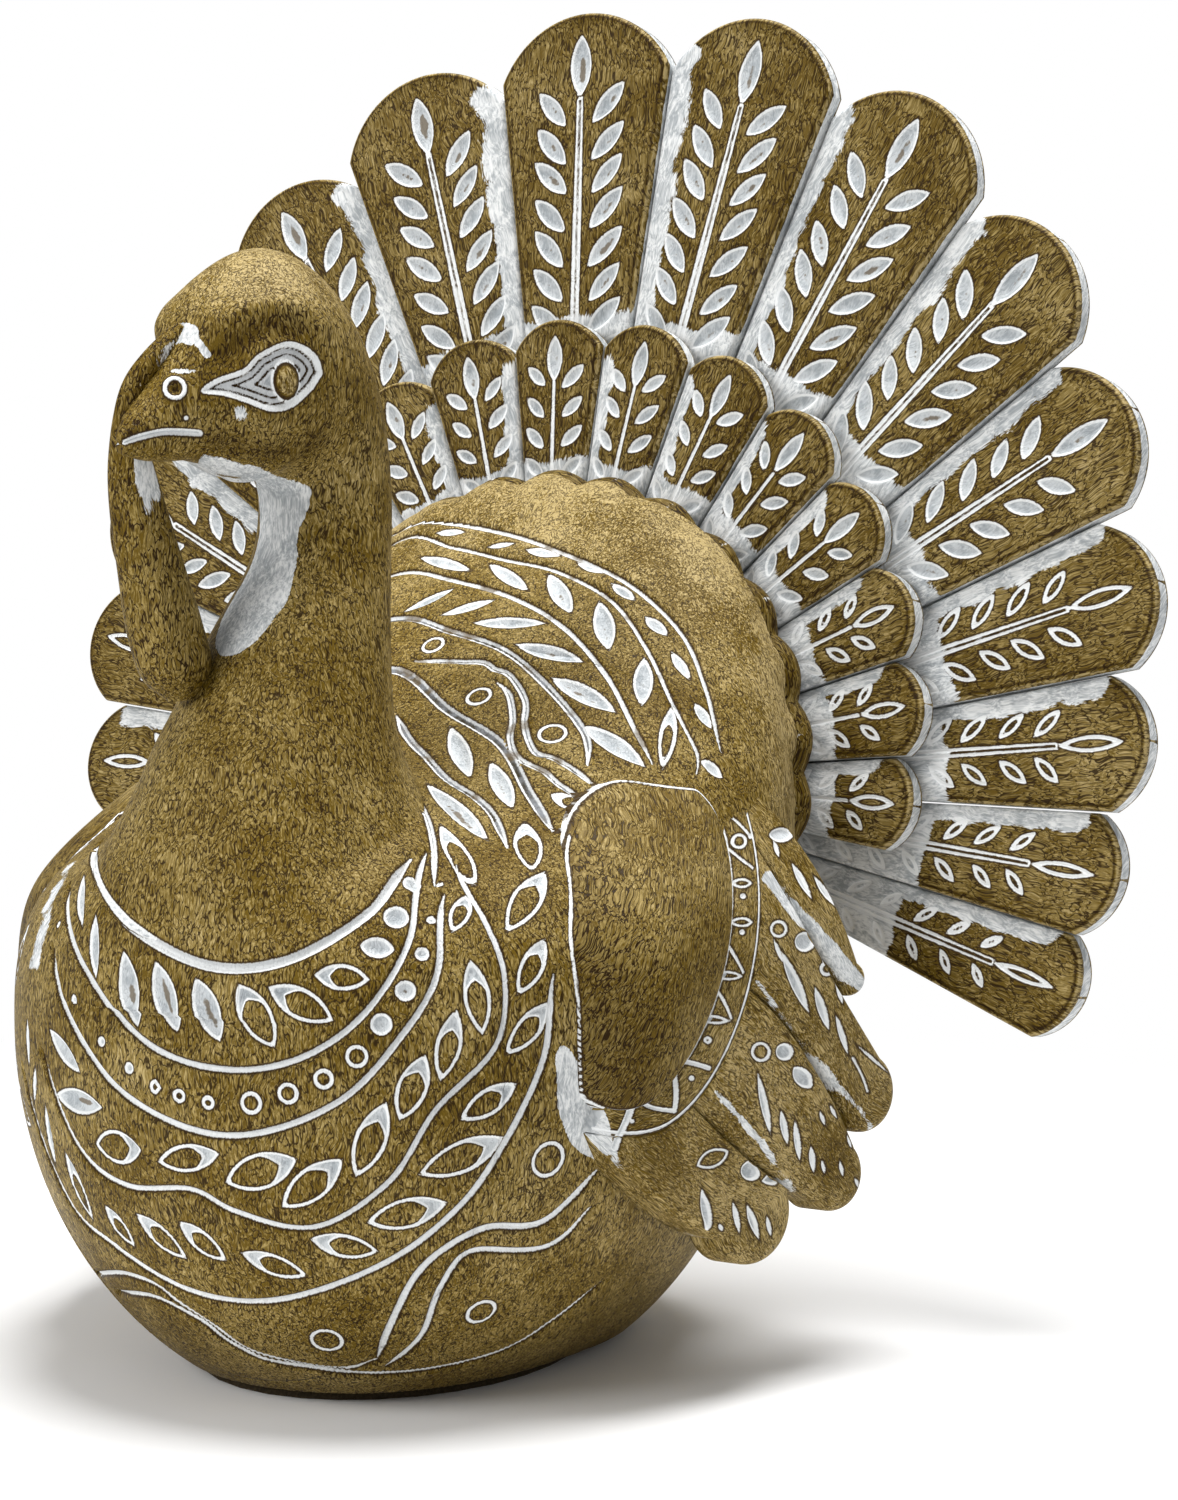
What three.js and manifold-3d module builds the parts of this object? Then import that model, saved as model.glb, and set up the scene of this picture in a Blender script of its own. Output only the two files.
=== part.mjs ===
// Table-top turkey figure in antiqued cast resin, as an assembly of its castings.
// Millimetres, +Z up. The turkey faces -Y and its left side is +X.
// The origin is the centre of the felt pad's underside.

import * as THREE from 'three';
import { mergeVertices } from 'three/addons/utils/BufferGeometryUtils.js';
import Module from 'manifold-3d';

const wasm = await Module();
wasm.setup();

// Fits
const glueLine = 0.3; // gap left between neighbouring castings
const wall = 5; // thickness of the hollow body casting
const floorThickness = 10; // its floor is heavier, so that the figure stands firmly

// Base
const padHalfWidth = 33;
const padHalfLength = 40;
const padThickness = 1.5;
const plugRadius = 11;
const plugLength = 8;
const plugOffset = 16; // the pour hole sits behind the middle of the base

// Body: a round breast whose back rises to the tail
const bodyAround = 36;
const bodyRings = 22;
const bodyShoulder = 2.8; // squareness of the section above the widest level
const bodyBelly = 2; // and below it
// Stations from the breast to the tail: place along Y, half width, widest level, top and bottom.
// The bottom is then cut flat for the base.
const bodyStations = [
  [-68, 2, 58, 60, 56],
  [-66.5, 14, 58, 71, 45],
  [-62, 28.5, 59, 83, 28],
  [-53, 43, 60, 91, 12.5],
  [-38.5, 55, 62, 97, -0.5],
  [-19, 62.5, 64, 103, -8],
  [1, 65.5, 67, 114, -11],
  [20, 65.5, 71, 128, -12],
  [36, 62, 78, 140, -9],
  [50, 56.5, 88, 151.5, 2],
  [62, 51.5, 95, 159, 20],
];
const bodyFront = -bodyStations[0][0];

// Tail fan: a frame leaning back, with its plane at the front of the outer row
const tailLean = 9; // degrees
const tailBack = 61; // fan plane behind the body's middle, at hub height
const tailHeight = 98; // hub height
const tailRoll = -3.4; // degrees: the fan is set a little towards the turkey's right
const hubRadius = 24;
const hubTenon = 18; // length of the hub inside the body
const coverRadius = 42;
const coverThickness = 5;
const coverDome = 5;

// Feather rows
const outerCount = 17;
const outerPitch = 15.5; // degrees at the middle of the fan
const outerClosing = 0.026; // the pitch closes up down the sides
const outerReach = 127.5; // mean tip radius
const outerCrown = 16.5; // longer at the top, shorter at the bottom
const outerCrest = 9.5; // longer at the top, shorter at the sides
const outerCrestTurn = 5; // degrees from the middle feather to the longest reach
const outerThickness = 5.5;
const innerCount = 15;
const innerPitch = 13.5;
const innerReach = 79;
const innerCrown = 11;
const innerThickness = 5;
const featherGap = 0.35; // between the sides of neighbouring feathers
const featherTip = 1.1; // tip's radius over that of a round end to the blade's sides
const featherTilt = 0.08; // each blade's outer edge stands over the next one
const featherBevel = 0.8;

// Rump collar
const collarRadius = 58.5;
const collarScallop = 2;
const collarThickness = 6;
const collarBevel = 3;

// Neck and head, in a frame turned about the neck's foot
const headTurn = 12; // degrees towards the turkey's right
const neckBack = -31; // neck frame's place along Y
const neckSides = 18;
const neckRings = 25;
const neckDowelRadius = 5;
const neckDowelForward = 2;
const neckDowelBottom = 84;
const neckDowelTop = 122;
// Stations from the foot of the neck to the beak: forward, height, slope of the section in degrees,
// half depth and half width
const headStations = [
  [5, 75, 0, 23, 23],
  [6.5, 91, 2, 25.5, 25.5],
  [5, 109, 5, 21.8, 21.8],
  [1.8, 120.5, 6, 18.8, 18.2],
  [-2.1, 132, 6, 16, 15],
  [-6.5, 143, 8, 12.8, 12.3],
  [-8, 152, 15, 12.1, 11.4],
  [-7, 161.5, 28, 12.4, 11.8],
  [-2.3, 169.4, 48, 15.4, 13.7],
  [4, 174.6, 68, 19, 15.2],
  [9.7, 176.8, 82, 19.4, 15.2],
  [15.8, 175.3, 91, 17.2, 13.9],
  [20.5, 173.6, 94, 14, 11.2],
  [25, 169.3, 100, 9, 7.6],
  [29.7, 166.3, 103, 6.2, 5.4],
  [34, 164.4, 106, 4.1, 3.6],
  [37.6, 162.9, 110, 1.6, 1.5],
];

// Snood: forward, side, height and radius along its middle, in the neck's frame
const snoodSides = 10;
const snoodRings = 17;
const snoodStations = [
  [23.5, -0.5, 182, 1.7],
  [28.4, -2.3, 177, 1.9],
  [31.2, -3.8, 172.3, 2.1],
  [31.6, -5.2, 166.5, 2.5],
  [30, -6.5, 160, 3.7],
  [28.3, -6.9, 153, 4.6],
  [26, -6.8, 144, 5.4],
  [23, -6.5, 132.5, 6.3],
  [20.5, -6.2, 125, 5.8],
  [19.5, -6, 120.5, 2.5],
];

// Wings: laid out on the side of the body round the shoulder's middle
const shoulderForward = 19;
const shoulderHeight = 82;
const wingFace = 65.5; // outer face from the middle plane, at the shoulder's middle
const wingFlare = 0.27; // the wing stands out towards its rear
const wingLean = 0.06; // and leans in towards its top
const wingWrap = 0.03; // and curls in at the front, per square millimetre
const wingSweep = 0.9; // above the shoulder's middle it sweeps back along the flank
const wingSweepEase = 8; // length over which the sweep sets in
const sweepIn = 0.498; // parts of the sweep that go in, back and down
const sweepBack = 0.863;
const sweepDown = 0.087;
const wingNestle = 0.00067; // its upper front lies in against the body, per cubic millimetre
const nestleFrom = 10; // ahead of this place
const shieldHalfWidth = 15.5;
const shieldFront = 17.2; // the half width towards the front
const shieldFull = 0.45; // fullness of the upper front
const shieldHalfHeight = 26;
const shieldDome = 4.5; // how far the shoulder's dome stands over the wing's face
const shieldDrop = 4; // the shoulder's lower point, beyond its oval
const shieldTilt = 20; // degrees: the oval's top leans to the rear
const bandWidth = 8;
const bandFrom = -112; // degrees round the shoulder's middle, 0 to the rear
const bandTo = 48;
const flightThickness = 7;
// Flight feathers, from the top one: lower and upper edge at the band and the tip's direction in
// degrees, the tip's distance from the shoulder's middle, its radius, and the rise of the upper and
// of the lower edge over a straight line
const flightFeathers = [
  [16, 42, -15, 53, 3.2, 8, 0],
  [-26, 15, -33.7, 67.5, 7.2, 0, 5.4],
  [-68, -26.5, -48.5, 69, 6.6, 5.4, -2],
  [-111, -68.5, -68, 63, 9, -1, -5],
];
const wingDowelRadius = 4;
const wingDowelLength = 18;
const wingDowelSeat = 5; // depth of the dowel's hole in the shoulder
const wingDowelDrop = 8; // below the shoulder's middle, where the wing lies closest

// Carving: grooves along the body, and chip-cut ribs and leaves on the tail feathers
const carveDepth = 0.7;
const carveClear = 0.3; // the cutters stand over the face by this
const grooveWidth = 1.8;
const grooveDepth = 0.95;
const grooveStep = 9; // length of a groove's straight pieces
// Grooves as seen from the front, as points across and up: round the breast below the neck,
const breastGrooves = [
  [[-38, 93], [-24, 89], [-8, 82], [8, 78], [21, 80], [30, 87], [30, 94]],
  [[-33, 87], [-20, 76], [-4, 65], [12, 62], [25, 65], [34, 73], [37, 84], [31, 95]],
  [[-31, 78], [-23, 67], [-9, 56], [11, 51], [29, 57], [39, 69], [42, 79], [38, 90]],
  [[-32, 60], [-22, 45], [-11, 40], [3, 41], [11, 38], [24, 36], [36, 44], [43, 56], [50, 66],
    [50, 77], [45, 86], [36, 94]],
  [[-41, 56], [-29, 34], [-18, 28], [-2, 22], [14, 22], [32, 29], [44, 39], [51, 51], [55, 64], [55, 77]],
];
// over the back,
const backGrooves = [
  [[-58, 109], [-54, 122], [-46, 134], [-36, 143], [-24, 148], [-5, 147], [13, 143], [28, 138], [41, 130],
    [50, 120], [57, 109]],
  [[-52, 108], [-46, 120], [-36, 132], [-22, 139], [-8, 138], [8, 135], [22, 130], [35, 122], [46, 112],
    [50, 108]],
  [[-42, 109], [-36, 119], [-26, 127], [-14, 131], [-1, 129], [13, 126], [26, 120], [37, 113], [41, 108]],
  [[-42, 100], [-32, 111], [-20, 119], [-7, 122], [9, 116], [24, 111], [35, 104], [44, 98]],
];
// and up one side of the belly
const bellyGroove = [[25, 10], [31, 19], [38, 29], [46, 35], [52, 35], [58, 43]];
// Leaves: the top leaf's middle below the tip, half length and half width; the rib's width; then the
// pairs' half length and half width, place beside the rib, lift in degrees, first place below the
// tip, pitch, and count; full is the blade's half width that takes leaves of this size
const outerLeaves = {
  top: [10.7, 6.4, 2.35], rib: 1.25, half: 5.1, width: 1.9, away: 6.4, lift: 46, first: 19, pitch: 7.1,
  pairs: 6, full: 17,
};
const innerLeaves = {
  top: [7.8, 4.65, 1.75], rib: 0.8, half: 3.1, width: 1.3, away: 4.2, lift: 43, first: 11.2, pitch: 6,
  pairs: 3, full: 9.5,
};

// Colours of the finish
const goldBrown = 0x8b7140;
const darkBrown = 0x75592c;
const lightBrown = 0x9a8250;

const degrees = Math.PI / 180;

// A closed geometry as a solid, and back
function solidOf(geometry) {
  const bare = geometry.clone();
  bare.deleteAttribute('normal');
  bare.deleteAttribute('uv');
  const merged = mergeVertices(bare, 1e-4);
  const vertProperties = new Float32Array(merged.attributes.position.array);
  const triVerts = new Uint32Array(merged.index.array);
  return new wasm.Manifold(new wasm.Mesh({ numProp: 3, vertProperties, triVerts }));
}

function geometryOf(solid) {
  const mesh = solid.getMesh();
  const geometry = new THREE.BufferGeometry();
  geometry.setAttribute('position', new THREE.BufferAttribute(mesh.vertProperties, 3));
  geometry.setIndex(new THREE.BufferAttribute(mesh.triVerts, 1));
  geometry.computeVertexNormals();
  return geometry;
}

// Moves every vertex of a geometry by a function of its place
function warp(geometry, move) {
  const position = geometry.attributes.position;
  const point = new THREE.Vector3();
  for (let i = 0; i < position.count; i += 1) {
    point.fromBufferAttribute(position, i);
    move(point);
    position.setXYZ(i, point.x, point.y, point.z);
  }
  geometry.computeVertexNormals();
  return geometry;
}

// A closed skin over rings of points, with a middle point at each end
function loft(rings) {
  const sides = rings[0].length;
  const points = rings.flat();
  const ends = [rings[0], rings[rings.length - 1]];
  for (const ring of ends) {
    const middle = new THREE.Vector3();
    ring.forEach((p) => middle.addScaledVector(p, 1 / sides));
    points.push(middle);
  }
  const first = points.length - 2;
  const last = points.length - 1;
  const lastRing = (rings.length - 1) * sides;
  const index = [];
  for (let i = 0; i < sides; i += 1) {
    const j = (i + 1) % sides;
    for (let r = 0; r < rings.length - 1; r += 1) {
      const a = r * sides;
      const b = a + sides;
      index.push(a + i, a + j, b + i, b + i, a + j, b + j);
    }
    index.push(first, j, i);
    index.push(last, lastRing + i, lastRing + j);
  }
  const geometry = new THREE.BufferGeometry().setFromPoints(points);
  geometry.setIndex(index);
  geometry.computeVertexNormals();
  return geometry;
}

// Reads a smooth row of numbers out of hand-placed stations
function smoothRow(stations, share) {
  const last = stations.length - 1;
  const at = Math.min(share * last, last - 1e-9);
  const k = Math.floor(at);
  const t = at - k;
  const row = (i) => stations[Math.max(0, Math.min(last, i))];
  return stations[0].map((_, c) => {
    const [p0, p1, p2, p3] = [row(k - 1)[c], row(k)[c], row(k + 1)[c], row(k + 2)[c]];
    const slope1 = (p2 - p0) / 2;
    const slope2 = (p3 - p1) / 2;
    const rise = p2 - p1;
    return p1 + t * (slope1 + t * (3 * rise - 2 * slope1 - slope2 + t * (slope1 + slope2 - 2 * rise)));
  });
}

const figure = new THREE.Group();

function addPart(name, geometry, color, matrix = new THREE.Matrix4()) {
  const material = new THREE.MeshStandardMaterial({ color, roughness: 0.55, metalness: 0 });
  const mesh = new THREE.Mesh(geometry, material);
  mesh.name = name;
  mesh.applyMatrix4(matrix);
  figure.add(mesh);
}

// The body's form, grown by an offset
function bodyForm(offset, around, rings) {
  const sections = [];
  for (let r = 0; r < rings; r += 1) {
    const row = smoothRow(bodyStations, r / (rings - 1));
    const [along, halfWidth, widest, top, bottom] = row;
    if (halfWidth + offset < bodyStations[0][1]) {
      continue;
    }
    const section = [];
    for (let i = 0; i < around; i += 1) {
      const turn = (-2 * Math.PI * i) / around;
      const up = Math.sin(turn);
      const power = 2 / (up > 0 ? bodyShoulder : bodyBelly);
      const reach = Math.max(0, up > 0 ? top + offset - widest : widest - bottom + offset);
      const across = Math.sign(Math.cos(turn)) * Math.abs(Math.cos(turn)) ** power;
      section.push(
        new THREE.Vector3(
          (halfWidth + offset) * across,
          along * (1 + offset / bodyFront),
          widest + reach * Math.sign(up) * Math.abs(up) ** power,
        ),
      );
    }
    sections.push(section);
  }
  return loft(sections);
}

// Depth of the body's surface behind a point seen from the front
function bodyDepthAt(across, height) {
  const inside = (share) => {
    const [, halfWidth, widest, top, bottom] = smoothRow(bodyStations, share);
    const power = height > widest ? bodyShoulder : bodyBelly;
    const reach = height > widest ? top - widest : widest - bottom;
    return (Math.abs(across) / halfWidth) ** power + (Math.abs(height - widest) / reach) ** power < 1;
  };
  const steps = 100;
  let far = 0;
  while (far < steps && !inside(far / steps)) {
    far += 1;
  }
  let low = (far - 1) / steps;
  let high = far / steps;
  for (let i = 0; i < 12; i += 1) {
    const middle = (low + high) / 2;
    if (inside(middle)) {
      high = middle;
    } else {
      low = middle;
    }
  }
  return smoothRow(bodyStations, high)[0];
}

// Cutter of a groove: a three-cornered bar along the line, laid into the body's surface
function bodyGroove(line) {
  const route = new THREE.SplineCurve(line.map(([across, height]) => new THREE.Vector2(across, height)));
  const steps = Math.ceil(route.getLength() / grooveStep);
  const spots = route.getSpacedPoints(steps);
  const places = spots.map(({ x, y }) => new THREE.Vector3(x, bodyDepthAt(x, y), y));
  const half = (grooveWidth / 2) * (1 + carveClear / grooveDepth);
  const rings = places.map((place, i) => {
    const { x, y } = spots[i];
    const slopeAcross = (bodyDepthAt(x + 1, y) - bodyDepthAt(x - 1, y)) / 2;
    const slopeUp = (bodyDepthAt(x, y + 1) - bodyDepthAt(x, y - 1)) / 2;
    const out = new THREE.Vector3(slopeAcross, -1, slopeUp).normalize();
    const along = places[Math.min(steps, i + 1)].clone().sub(places[Math.max(0, i - 1)]);
    const beside = new THREE.Vector3().crossVectors(along, out).setLength(half);
    const over = place.clone().addScaledVector(out, carveClear);
    const deepest = place.clone().addScaledVector(out, -grooveDepth);
    return [over.clone().sub(beside), over.clone().add(beside), deepest];
  });
  return solidOf(loft(rings));
}

// A line on the other side of the body
function otherSide(line) {
  return line.map(([across, height]) => [-across, height]);
}

const bodySolid = solidOf(bodyForm(0, bodyAround, bodyRings));
const bodyRoom = solidOf(bodyForm(glueLine, bodyAround, bodyRings)); // neighbours keep clear of it

// Frame of the tail: X across, Z up the fan, Y to the rear
const tailFrame = new THREE.Matrix4()
  .makeTranslation(0, tailBack, tailHeight)
  .multiply(new THREE.Matrix4().makeRotationX(-tailLean * degrees));

// Depths in the tail frame, from the outer row's face forward
const tipHalfAngle = (outerPitch / 2) * degrees;
const outerLift = featherTilt * (outerReach + outerCrown + outerCrest) * Math.tan(tipHalfAngle);
const innerLift = featherTilt * (innerReach + innerCrown) * Math.tan((innerPitch / 2) * degrees);
const outerUnderInner = featherTilt * (innerReach + innerCrown) * Math.tan(tipHalfAngle);
const innerBack = -(outerUnderInner + innerLift + glueLine + featherTilt);
const innerFace = innerBack - innerThickness;
const collarBack = innerFace - innerLift - glueLine;
const collarFace = collarBack - collarThickness;
const bodyRear = collarFace - glueLine;
const coverFace = outerThickness + outerLift + glueLine;

// Room for the tail behind a depth of its frame, down to a level below the collar
const deep = 4 * bodyFront; // larger than the body every way
function tailRoom(from, level) {
  const block = new THREE.BoxGeometry(deep, deep, deep);
  block.translate(0, from + deep / 2, level + deep / 2);
  return solidOf(block.applyMatrix4(tailFrame));
}

function uprightCylinder(radius, bottom, top, x, y, sides = 24) {
  const cylinder = new THREE.CylinderGeometry(radius, radius, top - bottom, sides);
  return cylinder.rotateX(Math.PI / 2).translate(x, y, (bottom + top) / 2);
}

// Felt pad and plug under the body
const baseLevel = padThickness + glueLine;
const pad = uprightCylinder(padHalfWidth, 0, padThickness, 0, 0, 32);
addPart('felt_pad', pad.scale(1, padHalfLength / padHalfWidth, 1), 0x3a3226);
addPart(
  'base_plug',
  uprightCylinder(plugRadius, baseLevel, baseLevel + plugLength, 0, plugOffset),
  0x2f2a22,
);

// Body shell: hollow, cut flat below and at the tail
const belowBase = solidOf(new THREE.BoxGeometry(deep, deep, deep).translate(0, 0, baseLevel - deep / 2));
const floorTop = baseLevel + floorThickness;
const belowFloor = solidOf(new THREE.BoxGeometry(deep, deep, deep).translate(0, 0, floorTop - deep / 2));
const tailLevel = -collarRadius - collarScallop - glueLine;
const cavity = solidOf(bodyForm(-wall, 20, 13))
  .subtract(belowFloor)
  .subtract(tailRoom(bodyRear - wall, tailLevel - wall));
const hubHole = solidOf(
  new THREE.CylinderGeometry(hubRadius + glueLine, hubRadius + glueLine, 4 * wall, 32)
    .translate(0, bodyRear - wall, 0)
    .applyMatrix4(tailFrame),
);
const pourHole = solidOf(
  uprightCylinder(plugRadius + glueLine, baseLevel - wall, floorTop + wall, 0, plugOffset),
);

// Neck frame: local -Y is forward along the beak
const neckFrame = new THREE.Matrix4()
  .makeTranslation(0, neckBack, 0)
  .multiply(new THREE.Matrix4().makeRotationZ(-headTurn * degrees));

const neckDowelHole = solidOf(
  uprightCylinder(
    neckDowelRadius + glueLine,
    neckDowelBottom - wall,
    neckDowelTop + glueLine,
    0,
    -neckDowelForward,
  ).applyMatrix4(neckFrame),
);

// A dowel through the side of the body into the shoulder
function wingDowel(side, radius, from, to) {
  const dowel = new THREE.CylinderGeometry(radius, radius, to - from, 20);
  dowel.rotateZ(Math.PI / 2);
  return dowel.translate((side * (from + to)) / 2, -shoulderForward, shoulderHeight - wingDowelDrop);
}

const wingDowelTop = wingFace + shieldDome - wingDowelSeat;
const wingDowelFoot = wingDowelTop - wingDowelLength;

let shell = bodySolid
  .subtract(belowBase)
  .subtract(tailRoom(bodyRear, tailLevel))
  .subtract(cavity)
  .subtract(hubHole)
  .subtract(pourHole)
  .subtract(neckDowelHole);
for (const side of [-1, 1]) {
  shell = shell.subtract(
    solidOf(wingDowel(side, wingDowelRadius + glueLine, wingDowelFoot - wall, wingDowelTop)),
  );
}
const grooves = [
  ...breastGrooves,
  ...backGrooves,
  bellyGroove,
  otherSide(bellyGroove),
];
for (const line of grooves) {
  shell = shell.subtract(bodyGroove(line));
}
addPart('body_shell', geometryOf(shell), goldBrown);

// Head and neck: sections swung from level at the neck to upright at the beak
function headLoft(offset) {
  const rings = [];
  for (let r = 0; r < neckRings; r += 1) {
    const [forward, height, slope, halfDepth, halfWidth] = smoothRow(headStations, r / (neckRings - 1));
    const lean = slope * degrees;
    const ring = [];
    for (let i = 0; i < neckSides; i += 1) {
      const turn = (2 * Math.PI * i) / neckSides;
      const back = (halfDepth + offset) * Math.cos(turn);
      const side = (halfWidth + offset) * Math.sin(turn);
      const along = forward - back * Math.cos(lean);
      ring.push(new THREE.Vector3(-side, -along, height + back * Math.sin(lean)));
    }
    rings.push(ring);
  }
  return loft(rings);
}

const headSolid = solidOf(headLoft(0).applyMatrix4(neckFrame));
const headRoom = solidOf(headLoft(glueLine).applyMatrix4(neckFrame));
addPart('head_and_neck', geometryOf(headSolid.subtract(bodyRoom).subtract(neckDowelHole)), darkBrown);
addPart(
  'neck_dowel',
  uprightCylinder(neckDowelRadius, neckDowelBottom, neckDowelTop, 0, -neckDowelForward),
  0xb59b6a,
  neckFrame,
);

// Snood: a round lobe along its stations, cut to the beak and neck that it lies on
function snoodLoft() {
  const line = new THREE.CatmullRomCurve3(
    snoodStations.map(([forward, side, height]) => new THREE.Vector3(side, -forward, height)),
  );
  const rings = [];
  const across = new THREE.Vector3(1, 0, 0);
  for (let r = 0; r < snoodRings; r += 1) {
    const share = r / (snoodRings - 1);
    const radius = smoothRow(snoodStations, share)[3];
    const middle = line.getPoint(share);
    const tangent = line.getTangent(share);
    const depth = new THREE.Vector3().crossVectors(tangent, across).normalize();
    const width = new THREE.Vector3().crossVectors(depth, tangent);
    const ring = [];
    for (let i = 0; i < snoodSides; i += 1) {
      const turn = (2 * Math.PI * i) / snoodSides;
      const point = middle.clone();
      point.addScaledVector(width, radius * Math.cos(turn));
      point.addScaledVector(depth, radius * Math.sin(turn));
      ring.push(point);
    }
    rings.push(ring);
  }
  return loft(rings);
}

const snoodSolid = solidOf(snoodLoft().applyMatrix4(neckFrame)).subtract(headRoom);
addPart('snood', geometryOf(snoodSolid), darkBrown);

// Wings: a flat layout (to the rear, up, out) laid on the side of the body
function layOnSide(geometry, side) {
  return warp(geometry, (p) => {
    const [rear, up, out] = [p.x, p.y, p.z];
    const face = wingFace + wingFlare * rear - wingLean * up - wingWrap * Math.min(0, rear) ** 2;
    const sweep = (wingSweep * (up + Math.hypot(up, wingSweepEase))) / 2;
    const nestle = wingNestle * Math.max(0, up) ** 2 * Math.max(0, nestleFrom - rear);
    p.set(
      side * (face + out - sweepIn * sweep - nestle),
      rear - shoulderForward + sweepBack * sweep,
      up + shoulderHeight - sweepDown * sweep,
    );
  });
}

// Mirrored geometry has its faces turned to point out again
function faceOut(geometry, side) {
  if (side < 0) {
    const index = geometry.index.array;
    for (let i = 0; i < index.length; i += 3) {
      [index[i], index[i + 1]] = [index[i + 1], index[i]];
    }
  }
  return geometry;
}

function sidePiece(geometry, side) {
  const bare = geometry.clone();
  bare.deleteAttribute('normal');
  bare.deleteAttribute('uv');
  return solidOf(faceOut(layOnSide(mergeVertices(bare, 1e-4), side), side));
}

// An oval round the shoulder's middle, outside the shoulder by an offset
function ovalArc(shape, offset, from, to, clockwise) {
  const across = shieldHalfWidth + offset;
  const up = shieldHalfHeight + offset;
  const tilt = -shieldTilt * degrees;
  const start = from * degrees - tilt;
  const end = to * degrees - tilt;
  return shape.absellipse(0, 0, across, up, start, end, clockwise, tilt);
}

// Control point of an edge that rises over the straight line between its ends
function risen(from, to, rise) {
  const edge = to.clone().sub(from);
  const push = new THREE.Vector2(-edge.y, edge.x).setLength(rise);
  return from.clone().lerp(to, 0.5).add(push);
}

// Flight feather: from the band's outer edge to a round tip
function flightShape(lower, upper, direction, distance, radius, rise, lowRise) {
  const inset = featherGap / (shieldHalfWidth + bandWidth) / degrees;
  const turn = direction * degrees;
  const middle = distance - radius;
  const shape = new THREE.Shape();
  ovalArc(shape, bandWidth + glueLine, upper - inset, lower + inset, true);
  const root = shape.curves[0].getPoint(0);
  const lowRoot = shape.currentPoint.clone();
  const centre = new THREE.Vector2(middle * Math.cos(turn), middle * Math.sin(turn));
  const lowEnd = new THREE.Vector2(Math.sin(turn), -Math.cos(turn)).multiplyScalar(radius).add(centre);
  const low = risen(lowRoot, lowEnd, lowRise);
  shape.quadraticCurveTo(low.x, low.y, lowEnd.x, lowEnd.y);
  shape.absarc(centre.x, centre.y, radius, turn - Math.PI / 2, turn + Math.PI / 2, false);
  const high = risen(root, shape.currentPoint, rise);
  shape.quadraticCurveTo(high.x, high.y, root.x, root.y);
  return shape;
}

const bandDepth = wingFace / 2; // reaches into the body, which then trims it

// Shoulder: a tilted oval dome drawn down to a point
function shoulderDome(offset) {
  const dome = new THREE.SphereGeometry(1, 20, 10).rotateX(Math.PI / 2);
  warp(dome, (p) => {
    const drop = shieldDrop * Math.max(0, -p.y) ** 4;
    const front = shieldFront * (1 + shieldFull * Math.max(0, p.y) ** 2);
    p.x *= (p.x < 0 ? front : shieldHalfWidth) + offset;
    p.y = p.y * (shieldHalfHeight + offset) - drop;
    p.z *= (p.z > 0 ? shieldDome : bandDepth) + offset;
  });
  return dome.rotateZ(-shieldTilt * degrees);
}

for (const [side, name] of [[1, 'left'], [-1, 'right']]) {
  const dowelHole = solidOf(
    wingDowel(side, wingDowelRadius + glueLine, wingDowelFoot - wall, wingDowelTop + glueLine),
  );
  const shield = sidePiece(shoulderDome(0), side).subtract(bodyRoom).subtract(dowelHole);
  addPart(`${name}_wing_shield`, geometryOf(shield), darkBrown);
  addPart(
    `${name}_wing_dowel`,
    wingDowel(side, wingDowelRadius, wingDowelFoot, wingDowelTop),
    0xb59b6a,
  );
  const bandShape = new THREE.Shape();
  ovalArc(bandShape, bandWidth, bandFrom, bandTo, false);
  ovalArc(bandShape, glueLine, bandTo, bandFrom, true);
  bandShape.closePath();
  const bandOptions = { depth: bandDepth, bevelEnabled: false, curveSegments: 9 };
  const bandBlank = new THREE.ExtrudeGeometry(bandShape, bandOptions).translate(0, 0, -bandDepth);
  const shieldRoom = sidePiece(shoulderDome(glueLine), side);
  const band = sidePiece(bandBlank, side).subtract(bodyRoom).subtract(shieldRoom);
  addPart(`${name}_wing_band`, geometryOf(band), goldBrown);
  flightFeathers.forEach((feather, i) => {
    const options = { depth: flightThickness, bevelEnabled: false, curveSegments: 6 };
    const blade = new THREE.ExtrudeGeometry(flightShape(...feather), options);
    blade.translate(0, 0, -flightThickness);
    const trimmed = sidePiece(blade, side).subtract(bodyRoom);
    addPart(`${name}_flight_feather_${i + 1}`, geometryOf(trimmed), goldBrown);
  });
}

// Tail hub: tenon, core and domed rear cover, turned about the fan's axis
const hubProfile = [
  [0, bodyRear - hubTenon],
  [hubRadius, bodyRear - hubTenon],
  [hubRadius, coverFace],
  [coverRadius, coverFace],
  [coverRadius, coverFace + coverThickness / 2],
  [coverRadius - coverThickness / 2, coverFace + coverThickness],
  [0, coverFace + coverThickness + coverDome],
].map(([radius, depth]) => new THREE.Vector2(radius, depth));
addPart('tail_hub', new THREE.LatheGeometry(hubProfile, 32), goldBrown, tailFrame);

// Stands a flat outline up in the tail frame, from its face backwards
function standUp(geometry, face, thickness) {
  return geometry.rotateX(Math.PI / 2).translate(0, face + thickness, 0);
}

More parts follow.
